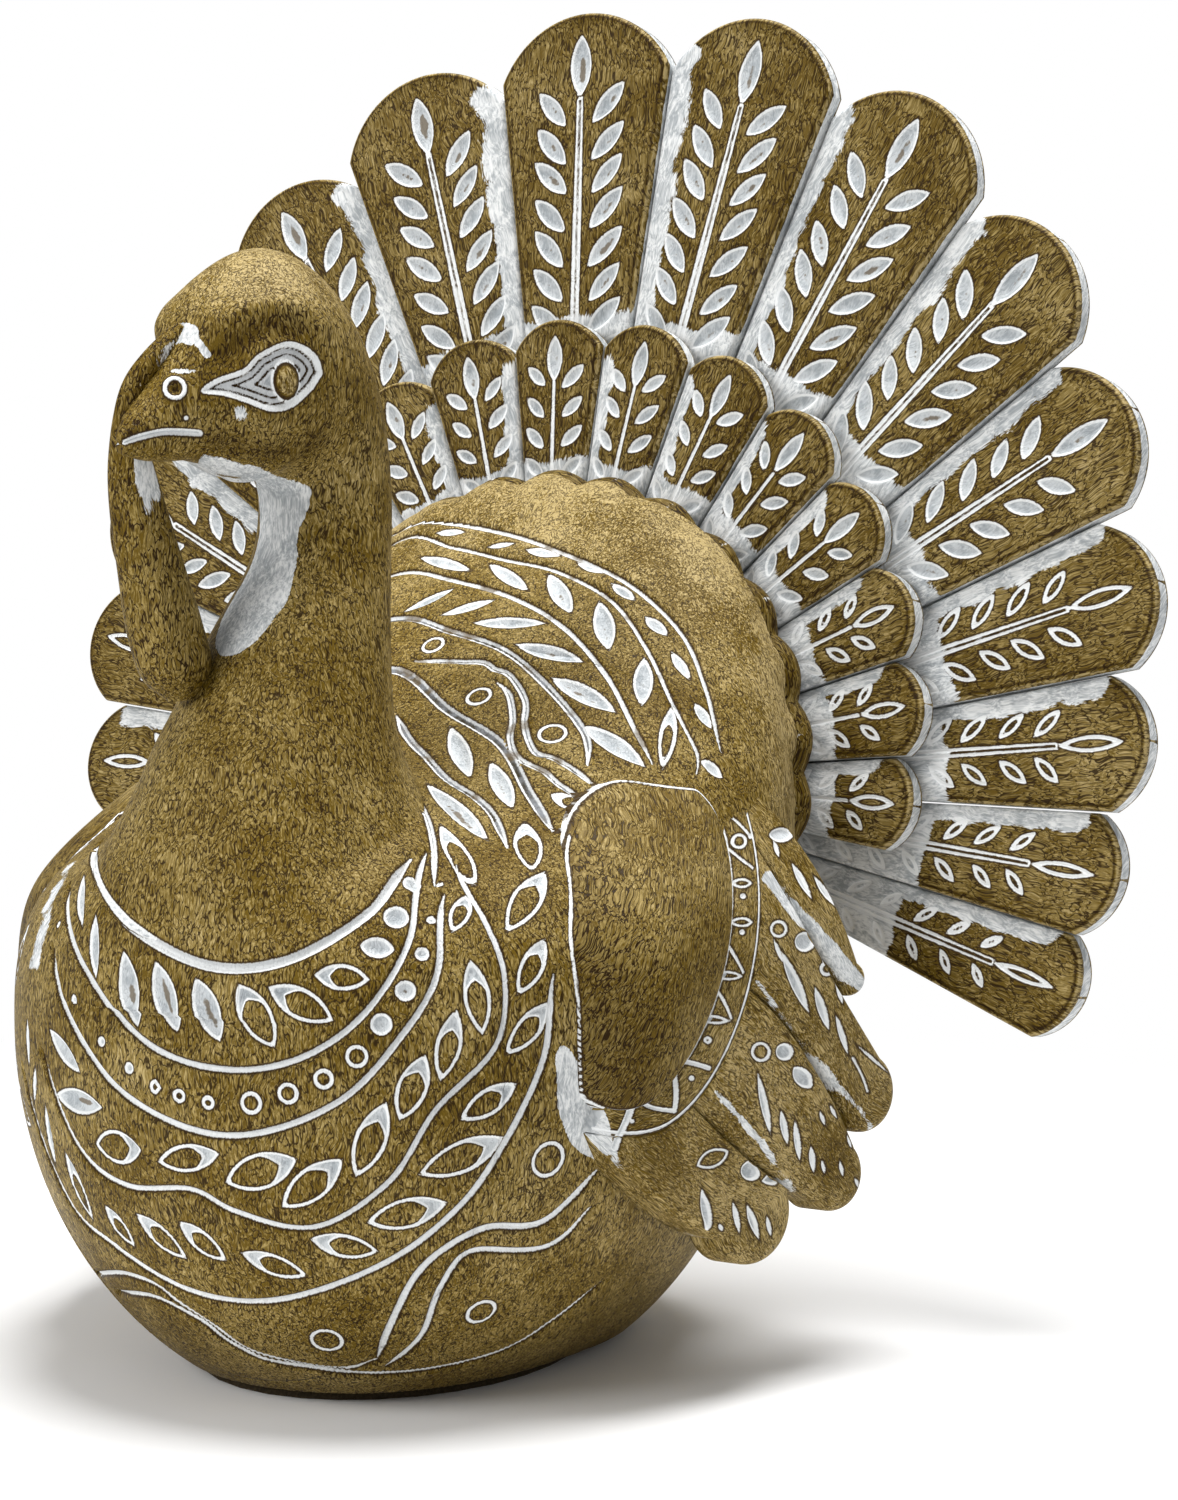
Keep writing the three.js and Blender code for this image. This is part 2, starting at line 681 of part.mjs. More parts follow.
// Rump collar: scalloped disc with a hole for the hub, one scallop for each inner feather
const collarSteps = 3;
const collarScallops = Math.round(360 / innerPitch);
const collarPoints = [];
for (let i = 0; i < collarScallops * collarSteps; i += 1) {
  const phase = i / collarSteps;
  const bulge = Math.sin(Math.PI * (phase - Math.floor(phase)));
  const radius = collarRadius - collarBevel + collarScallop * (bulge - 0.5);
  const turn = ((phase - 0.5) * 2 * Math.PI) / collarScallops;
  collarPoints.push(new THREE.Vector2(radius * Math.sin(turn), radius * Math.cos(turn)));
}
const collarShape = new THREE.Shape(collarPoints.reverse());
collarShape.holes.push(
  new THREE.Path().absarc(0, 0, hubRadius + glueLine + collarBevel, 0, 2 * Math.PI, true),
);
const collar = new THREE.ExtrudeGeometry(collarShape, {
  depth: collarThickness - collarBevel,
  bevelThickness: collarBevel / 2,
  bevelSize: collarBevel,
  bevelSegments: 1,
  curveSegments: 12,
}).translate(0, 0, collarBevel / 2);
addPart('rump_collar', standUp(collar, collarFace, collarThickness), lightBrown, tailFrame);

// Cutter of a tail feather's leaf: a four-cornered pyramid pointing into the face
function leafCutter(half, width, lift, across, height) {
  const grown = 1 + carveClear / carveDepth;
  const cutter = new THREE.ConeGeometry(1, carveDepth + carveClear, 4);
  cutter.scale(width * grown, 1, half * grown).rotateY((90 - lift) * degrees);
  return solidOf(cutter.translate(across, (carveDepth - carveClear) / 2, height));
}

// A blade with its rib, its top leaf and its pairs of leaves cut into the face
function carveFeather(blade, tip, halfAngle, leaves) {
  const fit = Math.min(1, ((tip - leaves.first) * Math.tan(halfAngle)) / leaves.full);
  const [below, topHalf, topWidth] = leaves.top;
  const ribTop = tip - below - topHalf;
  const ribFoot = hubRadius + coverThickness;
  const cutters = [
    leafCutter(topHalf, topWidth * fit, 90, 0, tip - below),
    leafCutter((ribTop - ribFoot) / 2, leaves.rib / 2, 90, 0, (ribTop + ribFoot) / 2),
  ];
  for (let i = 0; i < leaves.pairs; i += 1) {
    const height = tip - leaves.first - i * leaves.pitch;
    const [half, width, away] = [leaves.half * fit, leaves.width * fit, leaves.away * fit];
    cutters.push(leafCutter(half, width, leaves.lift, away, height));
    cutters.push(leafCutter(half, width, 180 - leaves.lift, -away, height));
  }
  return cutters.reduce((solid, cutter) => solid.subtract(cutter), solidOf(blade));
}

function tailFeather(tip, halfAngle, thickness, tilt, leaves) {
  const root = hubRadius + glueLine + featherBevel;
  const tipRadius = (featherTip * tip * Math.sin(halfAngle)) / (1 + Math.sin(halfAngle));
  const middle = tip - featherBevel - tipRadius;
  const half = halfAngle - (featherGap / 2 + featherBevel) / tip;
  // where the round tip meets the side of the blade's sector
  const reach = middle * Math.cos(half) + Math.sqrt(tipRadius ** 2 - (middle * Math.sin(half)) ** 2);
  const open = Math.atan2(reach * Math.cos(half) - middle, reach * Math.sin(half));
  const inset = featherBevel + featherGap / 2;
  const rootHalf = root * Math.sin(halfAngle) - inset;
  const shape = new THREE.Shape();
  shape.moveTo(rootHalf, root);
  shape.absarc(0, middle, tipRadius, open, Math.PI - open, false);
  shape.lineTo(-rootHalf, root);
  shape.closePath();
  const blade = new THREE.ExtrudeGeometry(shape, {
    depth: thickness - 2 * featherBevel,
    bevelThickness: featherBevel,
    bevelSize: featherBevel,
    bevelSegments: 1,
    curveSegments: 5,
  }).translate(0, 0, featherBevel);
  standUp(blade, 0, thickness);
  return warp(geometryOf(carveFeather(blade, tip, halfAngle, leaves)), (p) => {
    p.y -= tilt * p.x;
  });
}

// A row of feathers; each fills the sector between its own two edges of the row
function addRow(name, count, edgeAt, tipAt, thickness, face, leaves) {
  for (let i = 0; i < count; i += 1) {
    const place = i - (count - 1) / 2;
    const near = edgeAt(place - 0.5);
    const far = edgeAt(place + 0.5);
    const turn = (near + far) / 2;
    const rolled = turn + tailRoll * degrees;
    const tilt = featherTilt * Math.sign(place);
    const blade = tailFeather(tipAt(turn), (far - near) / 2, thickness, tilt, leaves);
    const matrix = tailFrame
      .clone()
      .multiply(new THREE.Matrix4().makeTranslation(0, face, 0))
      .multiply(new THREE.Matrix4().makeRotationY(rolled));
    addPart(`${name}_${String(i + 1).padStart(2, '0')}`, blade, goldBrown, matrix);
  }
}

function outerAngle(place) {
  return (place * outerPitch - outerClosing * place ** 3) * degrees;
}

function outerTip(turn) {
  const from = turn - outerCrestTurn * degrees;
  return outerReach + outerCrown * Math.cos(from) + outerCrest * Math.cos(2 * from);
}

addRow('outer_feather', outerCount, outerAngle, outerTip, outerThickness, 0, outerLeaves);
addRow(
  'inner_feather',
  innerCount,
  (place) => place * innerPitch * degrees,
  (turn) => innerReach + innerCrown * Math.cos(turn),
  innerThickness,
  innerFace,
  innerLeaves,
);

// Undertail block: closes the open sector below the fan
const blockFrom = Math.PI / 2 - outerAngle(outerCount / 2) - 0.02;
const blockShape = new THREE.Shape();
const blockInner = hubRadius + glueLine;
const blockOuter = collarRadius - collarBevel;
blockShape.absarc(0, 0, blockOuter, blockFrom, -Math.PI - blockFrom, true);
blockShape.absarc(0, 0, blockInner, -Math.PI - blockFrom, blockFrom, false);
blockShape.closePath();
const blockFront = collarBack + glueLine;
const blockDepth = coverFace - glueLine - blockFront;
const block = new THREE.ExtrudeGeometry(blockShape, {
  depth: blockDepth,
  bevelEnabled: false,
  curveSegments: 16,
});
const rolledFrame = tailFrame.clone().multiply(new THREE.Matrix4().makeRotationY(tailRoll * degrees));
addPart('undertail_block', standUp(block, blockFront, blockDepth), goldBrown, rolledFrame);

export default figure;
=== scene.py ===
import math
import bpy
import numpy as np
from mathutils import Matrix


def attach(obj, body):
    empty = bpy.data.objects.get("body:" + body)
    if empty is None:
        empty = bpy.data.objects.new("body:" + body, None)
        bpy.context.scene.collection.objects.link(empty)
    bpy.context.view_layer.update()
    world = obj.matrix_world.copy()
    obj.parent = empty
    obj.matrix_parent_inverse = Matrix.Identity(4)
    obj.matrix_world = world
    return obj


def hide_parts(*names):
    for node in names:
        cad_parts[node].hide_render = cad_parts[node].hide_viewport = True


# Turkey figure in antiqued resin: carved castings with whitewash left in the cuts.
# Lengths are millimetres until a mesh is made; the turkey faces -Y and its left side is +X.
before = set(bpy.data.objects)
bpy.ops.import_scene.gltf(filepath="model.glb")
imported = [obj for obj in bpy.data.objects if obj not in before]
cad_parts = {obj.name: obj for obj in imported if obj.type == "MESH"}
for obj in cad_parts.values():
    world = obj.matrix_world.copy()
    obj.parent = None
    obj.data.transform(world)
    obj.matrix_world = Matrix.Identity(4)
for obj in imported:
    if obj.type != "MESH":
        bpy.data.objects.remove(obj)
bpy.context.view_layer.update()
scene = bpy.context.scene
scene.view_settings.view_transform = "Standard"
print("frame loaded:", len(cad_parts), "nodes")

# The photograph's camera
photo = {
    "width": 1178, "height": 1500,
    "azimuth": 30, "elevation": 5, "distance": 600,
    "target": (30.71, 17.73, 108.5),
    "lens": 80, "sensor": 36,
}


def cameraAxes():
    turn, rise = math.radians(photo["azimuth"]), math.radians(photo["elevation"])
    back = np.array([math.sin(turn) * math.cos(rise), -math.cos(turn) * math.cos(rise), math.sin(rise)])
    right = np.array([math.cos(turn), math.sin(turn), 0.0])
    return right, np.cross(back, right), back


cameraRight, cameraUp, cameraBack = cameraAxes()
cameraPlace = np.array(photo["target"]) + photo["distance"] * cameraBack
metres = 0.001  # in a millimetre
mirror = np.array([-1, 1, 1])  # swaps left and right
clear = 9.0  # distance of what has no carving near it
whole = 99.0  # ring of a leaf or dot that is cut all over
grazing = 0.12  # cosine towards the camera below which a place is out of its sight


# Pixels of the photograph for points in millimetres
def toPixels(points):
    reach = np.asarray(points, float) - np.array(photo["target"])
    scale = photo["lens"] / photo["sensor"] * photo["height"] / (photo["distance"] - reach @ cameraBack)
    return np.stack([photo["width"] / 2 + reach @ cameraRight * scale,
                     photo["height"] / 2 - reach @ cameraUp * scale], axis=-1)


def unit(vectors):
    return vectors / np.maximum(np.linalg.norm(vectors, axis=-1, keepdims=True), 1e-9)


def rotate(u, v, angle):
    c, s = math.cos(angle), math.sin(angle)
    return u * c - v * s, u * s + v * c


def smoothStep(value, low, high):
    t = np.clip((value - low) / (high - low), 0, 1)
    return t * t * (3 - 2 * t)


# A soft hump, 1 in its middle
def hump(distance, width, power=2):
    return np.exp(-(distance / width) ** power)


# Catmull-Rom rows: cubic through the stations, with half the neighbours' difference as slope
def smoothRow(stations, share):
    rows = np.asarray(stations, float)
    last = len(rows) - 1
    at = np.clip(np.asarray(share, float) * last, 0, last - 1e-9)
    k = at.astype(int)
    t = (at - k)[:, None]
    before, here, there, after = (rows[np.clip(k + i, 0, last)] for i in (-1, 0, 1, 2))
    slopeHere, slopeThere, rise = (there - before) / 2, (after - here) / 2, there - here
    return here + t * (slopeHere + t * (3 * rise - 2 * slopeHere - slopeThere
                                        + t * (slopeHere + slopeThere - 2 * rise)))


# Normals of a grid whose columns close round: cross product of the two grid directions
def gridNormals(grid):
    around = np.roll(grid, -1, 1) - np.roll(grid, 1, 1)
    normal = unit(np.cross(around, np.gradient(grid, axis=0)))
    outward = np.sum(normal * (grid - grid.mean(axis=1, keepdims=True)))
    return normal if outward > 0 else -normal


# Signed distances, negative inside
def leafDistance(along, across, half, width):
    radius = (half ** 2 + width ** 2) / (2 * width)
    return np.hypot(along, np.abs(across) + radius - width) - radius


def ringOf(distance, line):
    return np.abs(distance + line / 2) - line / 2


# A chip cut: its sides slope to the depth over a width
def chipped(distance, depth, width):
    return -depth * np.clip(0.05 - distance / width, 0, 1)


# Least distance from points to a path's straight pieces
def pathDistance(points, path):
    best = np.full(len(points), np.inf)
    for start, end in zip(path[:-1], path[1:]):
        step = end - start
        share = np.clip((points - start) @ step / max(step @ step, 1e-9), 0, 1)
        best = np.minimum(best, np.linalg.norm(points - start - share[:, None] * step, axis=1))
    return best


# A line is a share of its width at its ends, full after the taper, and dies away past them
lineEnds = {"share": 0.25, "taper": (-0.5, 6), "fall": 2}


# Signed distance to the side of a path on a surface, and the half width of its line, tapered to its ends
def besidePath(points, normals, path, width):
    pieces = np.linalg.norm(np.diff(path, axis=0), axis=1)
    starts = np.concatenate([[0], np.cumsum(pieces)])
    best, side, run = np.full(len(points), np.inf), np.zeros(len(points)), np.zeros(len(points))
    for start, end, long, before in zip(path[:-1], path[1:], pieces, starts):
        step = (end - start) / long
        along = (points - start) @ step
        off = points - start - np.clip(along, 0, long)[:, None] * step
        distance = np.linalg.norm(off, axis=1)
        sense = np.sign(np.sum(np.cross(step, normals) * off, axis=1))
        nearer = distance < best
        best, run = np.where(nearer, distance, best), np.where(nearer, before + along, run)
        side = np.where(nearer, sense * distance, side)
    left = np.minimum(run, starts[-1] - run)
    share = lineEnds["share"] + (1 - lineEnds["share"]) * smoothStep(left, *lineEnds["taper"])
    return side, width / 2 * share - lineEnds["fall"] * np.maximum(0, -left)


# Signed distance to a smooth closed outline, negative inside
def regionDistance(points, corners):
    loop = np.concatenate([corners[-1:], corners, corners[:2]])
    path = smoothRow(loop, np.linspace(1, len(corners) + 1, 6 * len(corners) + 1) / (len(loop) - 1))
    x, y = points.T
    inside = np.zeros(len(points), bool)
    for start, end in zip(path[:-1], path[1:]):
        between = (start[1] > y) != (end[1] > y)
        slope = (end[0] - start[0]) / (end[1] - start[1] + 1e-9)
        inside ^= between & (x < start[0] + (y - start[1]) * slope)
    return np.where(inside, -1, 1) * pathDistance(points, path)


# Corner numbers of the faces between two neighbouring columns
def facesOf(left, right, closed=False):
    over = [np.roll(column, -1, 0) if closed else column[1:] for column in (left, right)]
    under = [column if closed else column[:-1] for column in (left, right)]
    return np.stack([under[0], under[1], over[1], over[0]], -1).reshape(-1, 4)


# Mesh from a grid of rows by closed columns; the rows end in fans or close to a ring. Values are kept at the
# points and corners at each face's corners; grain runs along the strokes
def addPiece(name, grid, nodes, slotName, material, grain=None, closed=False, corners=None, **values):
    values = {"carve": clear, "ring": whole, "wash": 0.0, "worn": 0.0, **values}
    corners = corners or {"lineSide": clear, "lineHalf": 0.0}
    rows, columns = grid.shape[:2]
    count = rows * columns
    index = np.arange(count).reshape(rows, columns)
    wide = np.arange(rows * (columns + 1)).reshape(rows, columns + 1)
    beside = np.roll(index, -1, axis=1)
    quads = facesOf(index, beside, closed)
    quadGrain = facesOf(wide[:, :-1], wide[:, 1:], closed)
    points = grid.reshape(-1, 3)
    triangles = np.zeros((0, 3), int)
    if not closed:
        points = np.concatenate([points, grid[[0, -1]].mean(axis=1)])
        triangles = np.concatenate([
            np.stack([np.full(columns, count), beside[0], index[0]], -1),
            np.stack([np.full(columns, count + 1), index[-1], beside[-1]], -1)])
    corner = [points[quads[:, i]] for i in range(4)]
    volume = np.sum(corner[0] * (np.cross(corner[1], corner[2]) + np.cross(corner[2], corner[3])))
    order = -1 if volume < 0 else 1
    quads, quadGrain, triangles = quads[:, ::order], quadGrain[:, ::order], triangles[:, ::order]
    if grain is None:
        girth = np.linalg.norm(np.roll(grid, -1, 1) - grid, axis=2).mean(axis=0)
        length = np.linalg.norm(np.diff(grid, axis=0), axis=2).mean(axis=1)
        across = np.concatenate([[0], np.cumsum(girth)])
        along = np.concatenate([[0], np.cumsum(length)])
        grain = np.stack(np.broadcast_arrays(across[None, :], along[:, None]), axis=-1)
    grain = grain.reshape(-1, 2)
    mesh = bpy.data.meshes.new(name)
    mesh.vertices.add(len(points))
    mesh.vertices.foreach_set("co", (points * metres).ravel())
    loops = np.concatenate([quads.ravel(), triangles.ravel()]).astype(np.int32)
    starts = np.concatenate([np.arange(len(quads)) * 4, len(quads) * 4 + np.arange(len(triangles)) * 3])
    mesh.loops.add(len(loops))
    mesh.loops.foreach_set("vertex_index", loops)
    mesh.polygons.add(len(starts))
    mesh.polygons.foreach_set("loop_start", starts.astype(np.int32))
    mesh.update(calc_edges=True)
    capGrain = np.repeat(grain[:1], triangles.size, axis=0)
    layer = mesh.uv_layers.new(name="grain")
    allGrain = np.concatenate([grain[quadGrain.ravel()], capGrain])
    layer.data.foreach_set("uv", allGrain.astype(np.float32).ravel())

    def store(key, domain, parts):
        attribute = mesh.attributes.new(key, "FLOAT", domain)
        attribute.data.foreach_set("value", np.concatenate(parts).astype(np.float32))

    for key, value in corners.items():
        flat = np.broadcast_to(np.asarray(value, float), quads.shape)[:, ::order].ravel()
        store(key, "CORNER", [flat, np.full(triangles.size, clear if key == "lineSide" else 0.0)])
    for key, value in values.items():
        flat = np.broadcast_to(np.asarray(value, float), (rows, columns)).astype(np.float32)
        store(key, "POINT", [flat.ravel(), [] if closed else [flat[0].mean(), flat[-1].mean()]])
    mesh.validate()
    mesh.materials.append(material)
    piece = bpy.data.objects.new(name, mesh)
    scene.collection.objects.link(piece)
    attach(piece, "root")
    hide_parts(*nodes)


# Shader sockets with arithmetic
class Signal:
    def __init__(self, shade, socket):
        self.shade, self.socket = shade, socket

    def math(self, operation, first, second):
        return self.shade.node("ShaderNodeMath", {"operation": operation}, {0: first, 1: second})

    def __add__(self, other):
        return self.math("ADD", self, other)

    def __radd__(self, other):
        return self.math("ADD", other, self)

    def __sub__(self, other):
        return self.math("SUBTRACT", self, other)

    def __rsub__(self, other):
        return self.math("SUBTRACT", other, self)

    def __mul__(self, other):
        return self.math("MULTIPLY", self, other)

    def __rmul__(self, other):
        return self.math("MULTIPLY", other, self)

    def __abs__(self):
        return self.math("ABSOLUTE", self, 0.0)

    def least(self, other):
        return self.math("MINIMUM", self, other)

    def most(self, other):
        return self.math("MAXIMUM", self, other)

    def step(self, low, high):
        return self.shade.node("ShaderNodeMapRange", {"interpolation_type": "SMOOTHSTEP"},
                               {"Value": self, "From Min": low, "From Max": high})


class Shade:
    def __init__(self, owner):
        self.owner = owner
        owner.use_nodes = True
        self.tree = owner.node_tree
        self.tree.nodes.clear()

    def node(self, kind, settings=None, sockets=None, out=0):
        made = self.tree.nodes.new(kind)
        for key, value in (settings or {}).items():
            setattr(made, key, value)
        for key, value in (sockets or {}).items():
            if isinstance(value, Signal):
                self.tree.links.new(value.socket, made.inputs[key])
            else:
                made.inputs[key].default_value = value
        return Signal(self, made.outputs[out]) if len(made.outputs) else made

    def value(self, name):
        return self.node("ShaderNodeAttribute", {"attribute_name": name}, out="Fac")

    def noise(self, at, scale, detail=2.0, roughness=0.5):
        return self.node("ShaderNodeTexNoise", {}, {"Vector": at, "Scale": scale, "Detail": detail,
                                                    "Roughness": roughness})

    def mix(self, first, second, share):
        return self.node("ShaderNodeMix", {"data_type": "RGBA"}, {0: share, 6: first, 7: second}, out=2)

    def close(self, color, roughness, height=None, strength=0.3, distance=0.0003):
        sockets = {"Base Color": color, "Roughness": roughness, "Specular IOR Level": 0.1}
        if height is not None:
            sockets["Normal"] = self.node("ShaderNodeBump", {}, {"Height": height, "Strength": strength,
                                                                 "Distance": distance})
        surface = self.node("ShaderNodeBsdfPrincipled", {}, sockets)
        self.node("ShaderNodeOutputMaterial", {}, {"Surface": surface})
        return self.owner


# Screen colour to scene colour
def tone(code):
    parts = [int(code[i:i + 2], 16) / 255 for i in (0, 2, 4)]
    return tuple(c / 12.92 if c < 0.04045 else ((c + 0.055) / 1.055) ** 2.4 for c in parts) + (1.0,)


resin = {
    "dark": tone("2a1a00"), "mid": tone("695314"), "light": tone("9b854b"), "worn": tone("c8b27e"),
    "white": tone("eceeee"), "silver": tone("cfd3d5"), "grey": tone("a3a9ad"), "slate": tone("83868a"),
    "core": tone("38301f"), "line": tone("33220a"), "spot": tone("5f4c28"),
}


# Noises in object space: scale, detail, roughness
mottles = {
    "cloud": (62.0, 3.0, 0.6), "patch": (260.0, 3.0, 0.65),
    "sweep": (170.0, 2.0, 0.5), "lost": (150.0, 2.0, 0.5),
}
# Limits between which each layer of the finish comes in
limits = {
    "stroke": (0.01, 0.06), "scratch": (0.0, 0.06), "tan": (0.36, 0.62), "worn": (0.15, 0.7),
    "deep": (0.0, 1.0), "inside": (-0.12, 0.06), "outline": (0.14, 0.46), "brushed": (0.48, 0.6),
    "chalk": (0.38, 0.62),
    "core": (-0.6, -0.36), "leafCore": (0.46, 0.7), "lineCore": (0.5, 0.7), "spot": (-0.75, -0.4),
    "groove": (-0.02, 0.02), "shaded": (-0.1, 0.55), "greyedPaint": (0.3, 0.9), "bare": (0.56, 0.66),
    "upper": (0.088, 0.1),  # height in metres above which the lines are worn
}
# Wander of the strokes, as the scale of a noise and its reach, and how much finer the hairs are
curls = {"scale": 190.0, "reach": (3.2, 3.2, 2.0), "finer": 2.4}


# Stained resin: dark curled strokes along the level lines of two noises drawn out along the grain, over a tan
# that varies slowly, with whitewash inside the carving and dry-brushed wash beside it. Distances are in
# millimetres, negative inside: carve to a leaf or dot, of which only an outline as wide as ring is cut, and
# lineSide to the middle of a line, whose half width is lineHalf. The value for wear and painted light is
# above 0 where stain has worn off and where light is painted, and below 0 where the stain is darker and where
# shade is painted.
def resinMaterial(name, depth=0.0, strokeWidth=0.75, strokeLength=2.6, upright=False):
    shade = Shade(bpy.data.materials.new(name))
    carve, ring, wash, worn, lineSide, lineHalf = (
        shade.value(key) for key in ("carve", "ring", "wash", "worn", "lineSide", "lineHalf"))
    line = abs(lineSide) - lineHalf
    leaf = abs(carve + ring * 0.5) - ring * 0.5
    groove = (leaf - line).step(*limits["groove"])
    place = shade.node("ShaderNodeTexCoord", out="Object")
    grain = place if upright else shade.node("ShaderNodeUVMap", {"uv_map": "grain"})
    size = 1 / metres if upright else 1  # the grain is in millimetres
    width, length = size / strokeWidth, size / strokeLength
    stretch = (width, width, length) if upright else (width, length, 0)
    cloud, patch, sweep, lost = (shade.noise(place, *values) for values in mottles.values())
    drift = shade.node("ShaderNodeTexNoise", {}, {"Vector": place, "Scale": curls["scale"], "Detail": 1.0},
                       out="Color")
    lay = shade.node("ShaderNodeVectorMath", {"operation": "MULTIPLY"}, {0: grain, 1: stretch})
    lay = shade.node("ShaderNodeVectorMath", {"operation": "MULTIPLY_ADD"},
                     {0: drift, 1: curls["reach"], 2: lay})
    fine = shade.node("ShaderNodeVectorMath", {"operation": "SCALE"}, {0: lay, "Scale": curls["finer"]})
    curl = shade.noise(lay, 1.0, 1.5)
    hair = shade.noise(fine, 1.0, 2.0, 0.6)
    # stain: tan by level, paler where worn and where light is painted, darker with depth and where shade is
    # painted, then the strokes
    stroke = 1 - abs(curl - 0.5).step(*limits["stroke"])
    scratch = 1 - abs(hair - 0.5).step(*limits["scratch"])
    level = hair + (curl - 0.5) * 0.3 + (cloud - 0.5) * 0.7 + worn * 0.14
    base = shade.mix(resin["mid"], resin["light"], level.step(*limits["tan"]))
    base = shade.mix(base, resin["worn"], (worn + (level - 0.5) * 2.0).step(*limits["worn"]) * 0.7)
    base = shade.mix(base, resin["dark"], (0 - worn).step(*limits["deep"]) * 0.7 + depth)
    base = shade.mix(base, resin["dark"], (stroke * 0.95).most(scratch * 0.4) * (1 - worn * 0.6))
    # carving: a dark outline, then paint inside its ragged edge
    ragged = leaf.least(line) + (hair - 0.5) * 0.3 + (patch - 0.5) * 0.25
    inside = 1 - ragged.step(*limits["inside"])
    outline = (1 - ragged.step(*limits["outline"])) * (1 - inside)
    base = shade.mix(base, resin["line"], outline * 0.9)
    brushed = (wash + (hair - 0.5) * 0.5 + (sweep - 0.5) * 1.2).step(*limits["brushed"])
    powder = (curl * 0.3 + hair * 0.4 + sweep * 0.3).step(*limits["chalk"])
    chalk = shade.mix(resin["grey"], resin["white"], powder)
    base = shade.mix(base, chalk, brushed * 0.94)
    core = 1 - ragged.step(*limits["core"])
    leafCore = shade.mix(resin["silver"], resin["grey"], (patch * 0.7 + hair * 0.4).step(*limits["leafCore"]))
    lineCore = shade.mix(resin["slate"], resin["core"], (patch * 0.6 + cloud * 0.6).step(*limits["lineCore"]))
    upper = shade.node("ShaderNodeSeparateXYZ", {}, {0: place}, out="Z").step(*limits["upper"])
    middle = shade.mix(leafCore, lineCore, groove)
    paint = shade.mix(resin["white"], middle, core * (1 - groove * (1 - upper)))
    spot = (1 - (ragged + patch * 2.4).step(*limits["spot"])) * (1 - groove)
    paint = shade.mix(paint, resin["spot"], spot * 0.8)
    shaded = (0 - lineSide).step(*limits["shaded"]) * groove  # the upper wall of a line is in shade
    paint = shade.mix(paint, resin["slate"], shaded * 0.45)
    # greyer paint where the value is far below 0: in the painted shade of the face and inside the eye's lids
    paint = shade.mix(paint, resin["slate"], (0 - worn).step(*limits["greyedPaint"]) * 0.6)
    bare = lost.step(*limits["bare"]) * groove * upper  # upper lines have lost their paint in places
    color = shade.mix(base, shade.mix(paint, resin["spot"], bare * 0.7), inside)
    roughness = 0.4 + hair * 0.2 + inside * 0.2 + brushed * 0.2
    return shade.close(color, roughness, (hair - stroke) * (0.5 - brushed * 0.4), 0.5, 0.0006)


carvedResin = resinMaterial("carved resin", upright=True)
plainResin = resinMaterial("plain resin", upright=True)
wingResin = resinMaterial("wing resin", 0.06, 0.5, 1.9)
featherResin = resinMaterial("feather resin", 0.2)
rimResin = resinMaterial("rim resin")
backResin = resinMaterial("back resin", 0.15)


# Finish of a CAD node that is shown as it is: a speckle in object space between two colours
def speckled(name, low, high, scale, roughness):
    shade = Shade(bpy.data.materials.new(name))
    place = shade.node("ShaderNodeTexCoord", out="Object")
    speck = shade.noise(place, scale, 4.0, 0.65)
    return shade.close(shade.mix(tone(low), tone(high), speck.step(0.35, 0.7)), roughness, speck, 0.4, 0.0004)


def finishNode(node, material):
    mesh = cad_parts[node].data
    mesh.materials.clear()
    mesh.materials.append(material)


dowelWood = speckled("dowel", "a98c58", "c4aa78", 400.0, 0.8)
finishNode("felt_pad", speckled("felt", "2f281d", "463c2c", 1800.0, 0.95))
finishNode("base_plug", speckled("plug", "26221c", "38322a", 300.0, 0.7))
finishNode("undertail_block", speckled("undertail", "4c3a0e", "84703a", 420.0, 0.6))
for node in ("neck_dowel", "left_wing_dowel", "right_wing_dowel"):
    finishNode(node, dowelWood)
print("materials made")

# Body: superellipse sections; x = half * c, z = widest + reach * s, with c and s powers of cosine and sine
body = {
    "rows": 310, "columns": 600, "shoulder": 2.8, "belly": 2.0, "baseLevel": 1.8,
    "stations": [
        (-68, 2, 58, 60, 56), (-66.5, 14, 58, 71, 45), (-62, 28.5, 59, 83, 28), (-53, 43, 60, 91, 12.5),
        (-38.5, 55, 62, 97, -0.5), (-19, 62.5, 64, 103, -8), (1, 65.5, 67, 114, -11),
        (20, 65.5, 71, 128, -12), (36, 62, 78, 140, -9), (50, 56.5, 88, 151.5, 2), (62, 51.5, 95, 159, 20)],
    "section": (60, 42, 70),  # half width, rise and fall of the section that spaces the columns
    "crowding": 0.93,  # rows lie closer at the breast
    "cutFoot": -60.8, "flareFoot": -45, "flareLength": 10, "rimInset": 1.2, "tuck": 0.9,
    "lineDepth": 0.85, "lineReach": 0.9, "leafChip": (0.85, 1.5), "splits": (104, 208),
    "leafLine": (0.6, 2.6), "leafGather": (0.05, 0.45), "dotLine": 0.65, "margin": 4, "lineMargin": 3,
    "oneFlank": 10,  # a line that starts farther out than this is on one flank only
    "filletFoot": 70, "facing": (0.04, 0.2),
    # painted light, paler towards the rump, and painted shade, darker towards the base: strength and where
    # each comes in
    "paintedRumpLight": (0.38, 24, 4), "paintedBaseShade": (0.1, 26, 8), "streak": (0.75, 1.3),
}
tail = {
    "lean": math.radians(9), "back": 61, "height": 98, "roll": math.radians(-3.4),
    "hub": 24, "tenon": 18, "cover": 42, "coverThickness": 5, "coverDome": 5,
    "gap": 0.35, "tip": 1.1, "tilt": 0.08, "bevel": 0.8,
    "outerPitch": 15.5, "outerClosing": 0.026, "outerReach": 127.5, "outerCrown": 16.5, "outerCrest": 9.5,
    "crestTurn": math.radians(5), "outerThickness": 5.5,
    "innerPitch": 13.5, "innerReach": 79, "innerCrown": 11, "innerThickness": 5,
    "collar": 58.5, "scallop": 2, "collarThickness": 6, "glueLine": 0.3,
}


